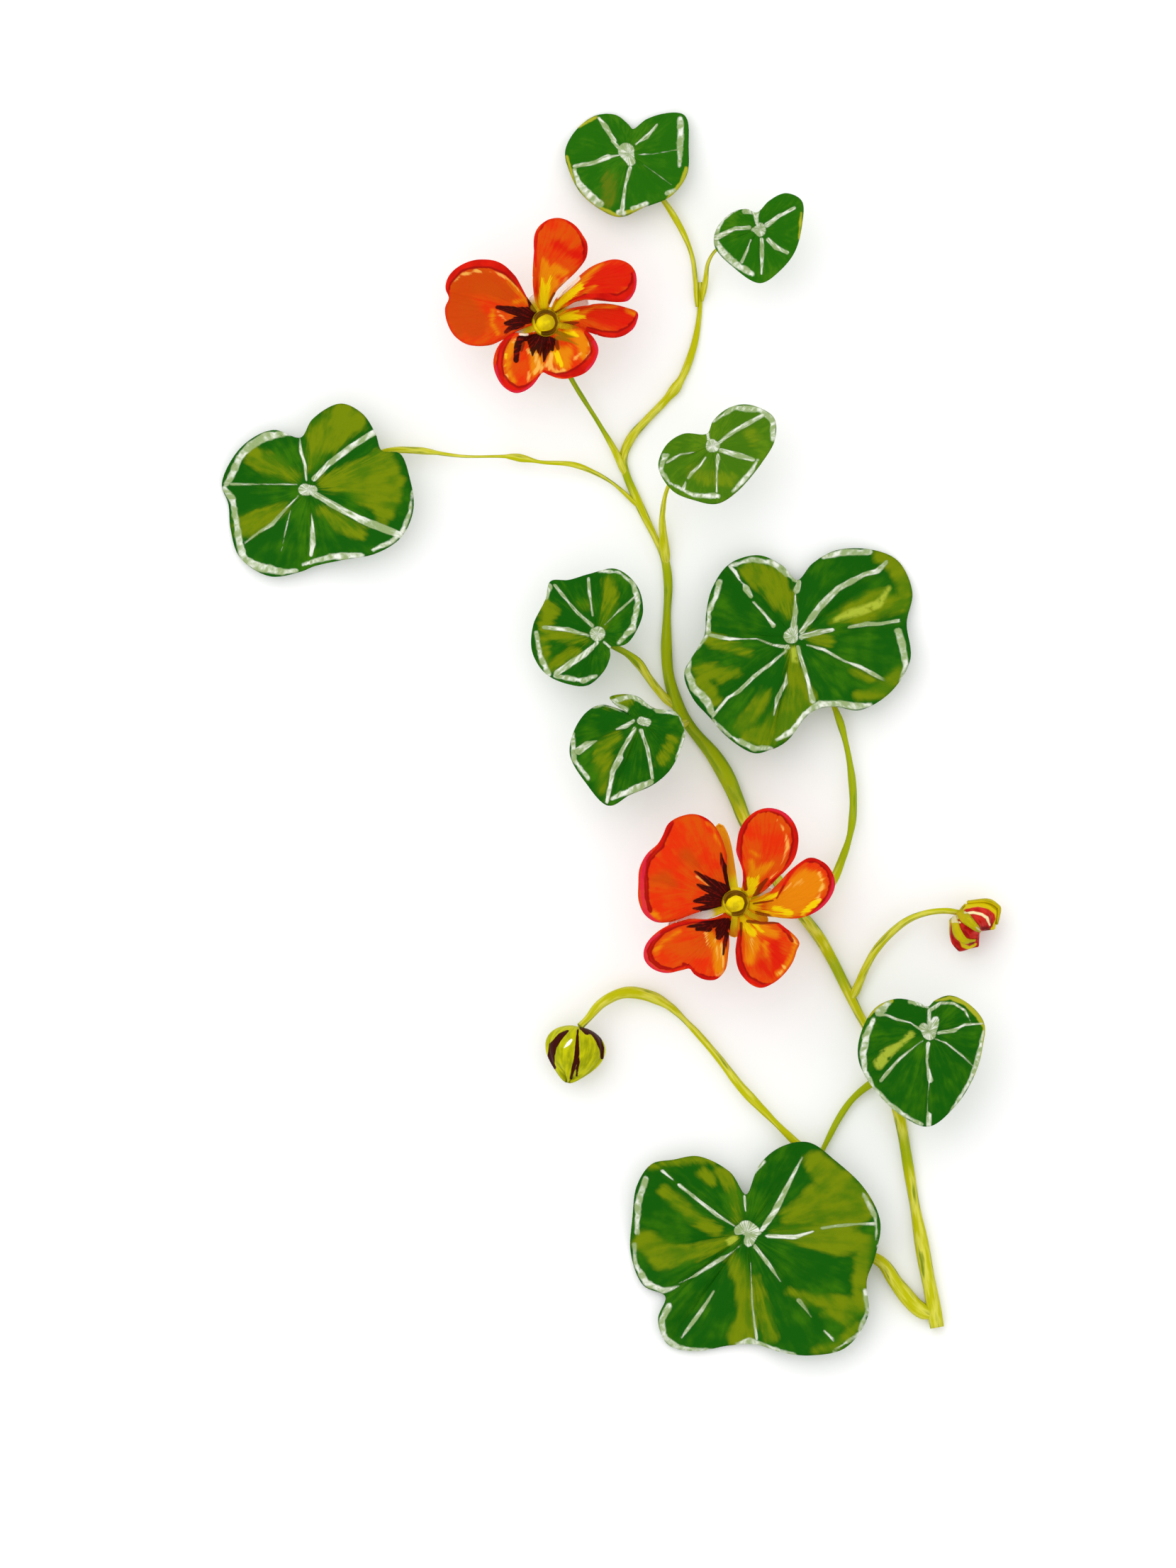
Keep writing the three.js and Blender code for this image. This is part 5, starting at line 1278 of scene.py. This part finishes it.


# %% [markdown]
# The sepals are yellow in the throat and fade towards their tips, to a chalky white on some and to
# amber on others. The seed case is a waxy yellow-green. Brown crescents of painted shade lie on
# its lower part and on its collar, where the gap between the two is in shadow.

# %% Finish of the calyx and the seed case
def calyx_finish(name, far_colour):
    finish = Finish(name, roughness=0.5)
    streaks = finish.noise(finish.place("UV"), 1, (16, 2, 1))
    clouds = finish.noise(finish.place(), 300)
    far = finish.fade("reach", streaks * 3 + clouds * 2, 5.2, 8)
    yellow = (streaks * 2 + clouds + 0.5).between(0, 1)
    yellow = finish.blend(yellow, tint(238, 216, 10), tint(222, 190, 20))
    return finish.paint(finish.blend(far, yellow, far_colour), streaks, depth=0.2)


def seed_case_finish():
    finish = Finish("seed_case_wax", roughness=0.4)
    clouds = finish.noise(finish.place(), 420)
    colour = finish.blend((clouds * 2.4 + 0.5).between(0.1, 0.9), tint(232, 208, 4), tint(190, 164, 8))
    # Brown painted shade in crescents, in the gap between the seed case and its collar.
    crescent = finish.fade("crescent", clouds * 0.9, 0.15, -0.15)
    brown = finish.blend((clouds * 3 + 0.5).between(0, 1), tint(80, 38, 0), tint(122, 74, 0))
    return finish.paint(finish.blend(crescent * 0.95, colour, brown), clouds, depth=0.3)


WHITE_SEPALS = calyx_finish("sepal_white", tint(255, 253, 246))
AMBER_SEPALS = calyx_finish("sepal_amber", tint(236, 156, 20))
SPUR_FINISH = calyx_finish("spur_skin", tint(222, 190, 60))
SEED_CASE_FINISH = seed_case_finish()


# %% Make the calyx and the seed case
def make_calyx(flower):
    middle = FLOWER_PLACES[flower]
    sheet = new_sheet("crescent", "reach", *TUBE_MARKS)
    bend_grid(sheet, 32, 24, turned(CUP_PROFILE, middle), rolled=True)
    turning = Matrix.Rotation(math.radians(SPUR_DIRECTIONS[flower]), 3, "Z")
    route = [middle + turning @ Vector(point) for point in SPUR_ROUTE]
    tube(sheet, route, lambda share, _: mix(*SPUR_RADII, share**0.8), sides=16, row_length=0.8)
    node = flower + "_calyx"
    make_piece(flower + "_cup_and_spur", sheet, "calyx_yellow", [SPUR_FINISH], node)
    for number, (degrees, reach) in enumerate(SEPALS[flower], 1):
        sheet = new_sheet("crescent", "reach")
        bend_grid(sheet, 16, 28, sepal_place(degrees, reach, middle))
        finish = AMBER_SEPALS if number in AMBER_TIPPED[flower] else WHITE_SEPALS
        make_piece(f"{flower}_sepal_{number}", sheet, "calyx_yellow", [finish], node,
                   thickness=SEPAL_THICKNESS)


def make_seed_case(flower):
    sheet = new_sheet("crescent", "reach")
    bend_grid(sheet, 40, 24, turned(SEED_CASE_PROFILE, FLOWER_PLACES[flower]), rolled=True)
    bend_grid(sheet, 40, 14, turned(COLLAR_PROFILE, FLOWER_PLACES[flower]), rolled=True)
    make_piece(flower + "_seed_case", sheet, "seed_case_yellow", [SEED_CASE_FINISH],
               flower + "_centre")


for flower in FLOWERS:
    make_calyx(flower)
    make_seed_case(flower)
print("calyces and seed cases:", len(FLOWERS))

# %% [markdown]
# ## The buds
#
# A bud lies on its side at the end of its stalk. The closed one is a fat, pleated purse: five sepals
# that still meet in seams, with maroon stripes beside the seams. In the opening one the sepals have
# parted into narrow straps, and crumpled crimson petals swell between them.

# %% Strokes on the buds
BUD_MARKS = {
    "bud_green": {
        "stripes":
            "-31 -10 3, -50 -24 8, -69 -48 10, -74 -74 9, -71 -97 7, -65 -104 5; -6 -9 3, -8 -48 5, -12 -89 "
            "5, -24 -132 4; -6 -32 3, -4 -84 3, -9 -125 3; 3 -4 5, 17 -15 7; 8 -5 5, 32 -14 8, 46 -32 8, 55 "
            "-55 7, 56 -80 4",
        # A painted highlight: a pale, near-white spot of light on the closed bud's shoulder.
        "shine": "-41 -54 2, -30 -43 5, -21 -33 3",
    },
    "bud_red": {
        "yellow":
            "-8 7 7, 14 17 7, 47 23 7, 78 17 9, 98 2 11, 102 -17 10, 91 -39 9, 78 -47 4; 0 -2 7, 10 -15 4; "
            "-9 -31 2, -2 -57 4, 9 -83 5, 25 -90 4, 40 -80 3",
        "cream":
            "14 -2 2, 34 1 3, 56 -4 4, 69 -13 4, 76 -31 2; -10 -13 7, -15 -22 5, 1 -25 2; 40 -36 1, 56 -49 "
            "2",
        "maroon":
            "56 -39 4, 73 -42 5; 25 -77 4, 34 -77 3; -15 -88 4, -4 -94 2; -30 -48 2, -26 -75 2; -19 -35 1, "
            "-19 -66 1, -10 -88 1; 10 -39 1, 25 -66 1; 29 -13 1, 51 -35 1; 69 2 1, 80 -17 1, 82 -35 1",
    },
}


# %% Shape of the closed bud
BUD_MARK_NAMES = ("stripes", "shine", "yellow", "cream", "maroon")
SEAM_COUNT = 5
SEAM_DEPTH = 0.13
SEAM_WIDTH = 0.22
PLEAT_HEIGHT = 0.9


def bud_point(bud, share, turn, radius, forward):
    along = polar(1, math.radians(bud["heading"]))
    sideways = Vector((along.y, -along.x, 0))
    ahead = along * (bud["length"] * share + forward)
    outward = sideways * math.sin(turn) + UP * math.cos(turn) * bud["squash"]
    return Vector(bud["base"]) + ahead + radius * outward


def closed_place(bud, cones):
    """Blunt at both ends and fullest before the middle, with seams that start at the stalk."""
    def place(u, v):
        turn = 2 * math.pi * u
        seam_turn = SEAM_COUNT * u
        seam = 1 - smooth(abs(seam_turn - round(seam_turn)), 0, SEAM_WIDTH)
        share = mix(0.01, 0.99, v)
        bulge = math.sin(math.pi * share**0.75) ** 0.6
        radius = bud["radius"] * bulge * (1 - SEAM_DEPTH * seam * smooth(share, 0, 0.3))
        forward = PLEAT_HEIGHT * smooth(share, 0.7, 1) * math.cos(SEAM_COUNT * turn)
        point = bud_point(bud, share, turn, radius, forward)
        return point, marks_at(point, cones)
    return place


# %% Shape of the opening bud
STRAP_TURNS = (-1.4, 0, 0.6, -2.6, 2.3)
STRAP_HALF_TURNS = (0.24, 0.09)  # at the base and at the tip
STRAP_THICKNESS = 0.7
BIG_FOLDS, SMALL_FOLDS = 9, 23
FOLD_FORWARD = 2.2


def crumpled_radius(bud, share, turn):
    """It opens over three quarters of its length, and closes towards its end."""
    opening = 0.3 + 0.7 * math.sin(math.pi / 2 * smooth(share, -0.25, 0.75))
    closing = 1 - 0.6 * smooth(share, 0.72, 1.05)
    folds = 1 + 0.06 * math.cos(BIG_FOLDS * turn) * smooth(share, 0.1, 0.5)
    return bud["radius"] * opening * closing * folds


def crumpled_forward(share, turn):
    return FOLD_FORWARD * share**2 * math.sin(turn) ** 2


def open_place(bud, cones):
    """The folded petals. The last rows turn in and close the end."""
    def place(u, v):
        turn = 2 * math.pi * u
        share = min(1, v * 1.15)
        closing = 1 - smooth(v, 0.87, 1.02)
        radius = crumpled_radius(bud, share, turn) * mix(0.1, 1, closing)
        radius *= 1 + 0.03 * math.cos(SMALL_FOLDS * turn + 3 * share) * smooth(share, 0.2, 0.6)
        point = bud_point(bud, share, turn, radius, crumpled_forward(share, turn) * closing)
        return point, marks_at(point, cones)
    return place


def strap_place(bud, middle_turn, cones):
    """A narrow sepal that lies on the folds and thins to a tip."""
    def place(u, v):
        share = mix(-0.05, 0.96, v)
        half_turn = mix(*STRAP_HALF_TURNS, smooth(share, 0, 0.8)) * (1 - 0.8 * smooth(v, 0.85, 1))
        turn = middle_turn - half_turn * (2 * u - 1)
        radius = crumpled_radius(bud, share, turn) + 0.45 + 0.2 * math.cos(math.pi * (u - 0.5))
        point = bud_point(bud, share, turn, radius, crumpled_forward(share, turn))
        return point, marks_at(point, cones)
    return place


# %% Finish of the buds
def bud_finish(name, light, dark):
    finish = Finish(name, roughness=0.45)
    streaks = finish.noise(finish.place("UV"), 1, (40, 3, 1))
    clouds = finish.noise(finish.place(), 260)
    ragged = clouds * 0.5 + streaks * 0.3
    colour = finish.blend((streaks * 2 + clouds * 1.6 + 0.5).between(0.1, 0.9), dark, light)
    layers = (  # mark, width of its edge, colour
        ("yellow", 0.3, tint(206, 186, 6)),
        ("cream", 0.25, tint(238, 226, 172)),
        ("maroon", 0.8, tint(112, 8, 10)),
        ("stripes", 0.16, tint(56, 8, 2)),
        # A painted highlight, laid on last, over every other mark.
        ("shine", 0.2, tint(250, 250, 238)),
    )
    for mark, softness, shade in layers:
        mask = finish.fade(mark, ragged, softness / 2, -softness / 2)
        colour = finish.blend(mask, colour, shade)
    return finish.paint(colour, streaks + clouds * 0.5, depth=0.3)


BUD_GREEN = bud_finish("bud_green_skin", tint(188, 188, 4), tint(144, 150, 2))
BUD_RED = bud_finish("bud_red_silk", tint(204, 44, 32), tint(158, 6, 8))
BUD_SEPAL = bud_finish("bud_sepal_skin", tint(212, 196, 16), tint(182, 170, 4))


# %% Make the buds
def bud_cones(name, bud):
    return mark_cones(BUD_MARKS[name], BUD_MARK_NAMES, bud["base"])


sheet = new_sheet(*BUD_MARK_NAMES)
bend_grid(sheet, 120, 60, closed_place(GREEN_BUD, bud_cones("bud_green", GREEN_BUD)), rolled=True)
make_piece("closed_bud", sheet, "bud_green", [BUD_GREEN], "bud_green")

red_cones = bud_cones("bud_red", RED_BUD)
sheet = new_sheet(*BUD_MARK_NAMES)
bend_grid(sheet, 140, 60, open_place(RED_BUD, red_cones), rolled=True)
make_piece("opening_bud_petals", sheet, "bud_red", [BUD_RED], "bud_red_petals")

sheet = new_sheet(*BUD_MARK_NAMES)
for turn in STRAP_TURNS:
    bend_grid(sheet, 12, 30, strap_place(RED_BUD, turn, red_cones))
make_piece("opening_bud_sepals", sheet, "bud_green", [BUD_SEPAL], "bud_red_calyx",
           thickness=STRAP_THICKNESS)
print("buds: 2, with sepals on the open one:", len(STRAP_TURNS))

# %% [markdown]
# ## Camera, light and table
#
# The spray is seen from straight above, as a plant laid on paper is. A long lens keeps the high leaves
# and the low ones at nearly one scale. The light is a large, soft lamp and a bright room, so that the
# greens and oranges keep their own colour and the shadows stay faint.

# %% Camera straight above
FRAME_HEIGHT = 398.2 * MM
FRAME_MIDDLE = (-6.1 * MM, -12.8 * MM)
SPRAY_MIDDLE_HEIGHT = 10 * MM
LENS = 600
SENSOR = 36
camera_data = bpy.data.cameras.new("camera")
camera_data.lens = LENS
camera_data.sensor_width = SENSOR
camera = bpy.data.objects.new("camera", camera_data)
bpy.context.scene.collection.objects.link(camera)
camera.location = (*FRAME_MIDDLE, FRAME_HEIGHT * LENS / SENSOR + SPRAY_MIDDLE_HEIGHT)
bpy.context.scene.camera = camera
print("camera height in m:", round(camera.location.z, 2))

# %% A pale table
TABLE_HALF_WIDTH = 2
TABLE_GAP = 0.05 * MM
PALE = (0.95, 0.95, 0.95, 1)
floor_mesh = bmesh.new()
bmesh.ops.create_grid(floor_mesh, x_segments=1, y_segments=1, size=TABLE_HALF_WIDTH)
bmesh.ops.translate(floor_mesh, verts=floor_mesh.verts[:], vec=(0, 0, -TABLE_GAP))
floor_data = bpy.data.meshes.new("table")
floor_mesh.to_mesh(floor_data)
floor_mesh.free()
table = bpy.data.objects.new("table", floor_data)
bpy.context.scene.collection.objects.link(table)
table_finish = Finish("table_white", roughness=0.9, specular=0.1)
table_finish.shader.inputs["Base Color"].default_value = PALE
floor_data.materials.append(table_finish.material)
print("table width in m:", round(table.dimensions.x, 2))

# %% A bright room and one soft lamp
ROOM_LIGHT = 1.05
LAMP_WIDTH = 1.6
LAMP_WATTS = 6
LAMP_PLACE = Vector((-0.5, 0.6, 1.3))
world = bpy.data.worlds.new("room")
bpy.context.scene.world = world
world.use_nodes = True
world.node_tree.nodes["Background"].inputs["Color"].default_value = (1, 1, 1, 1)
world.node_tree.nodes["Background"].inputs["Strength"].default_value = ROOM_LIGHT
lamp_data = bpy.data.lights.new("soft_lamp", "AREA")
lamp_data.shape = "DISK"
lamp_data.size = LAMP_WIDTH
lamp_data.energy = LAMP_WATTS
lamp = bpy.data.objects.new("soft_lamp", lamp_data)
bpy.context.scene.collection.objects.link(lamp)
lamp.location = LAMP_PLACE
lamp.rotation_euler = (-LAMP_PLACE).to_track_quat("-Z", "Y").to_euler()
bpy.context.scene.view_settings.view_transform = "Standard"
print("lamp distance in m:", round(LAMP_PLACE.length, 2))
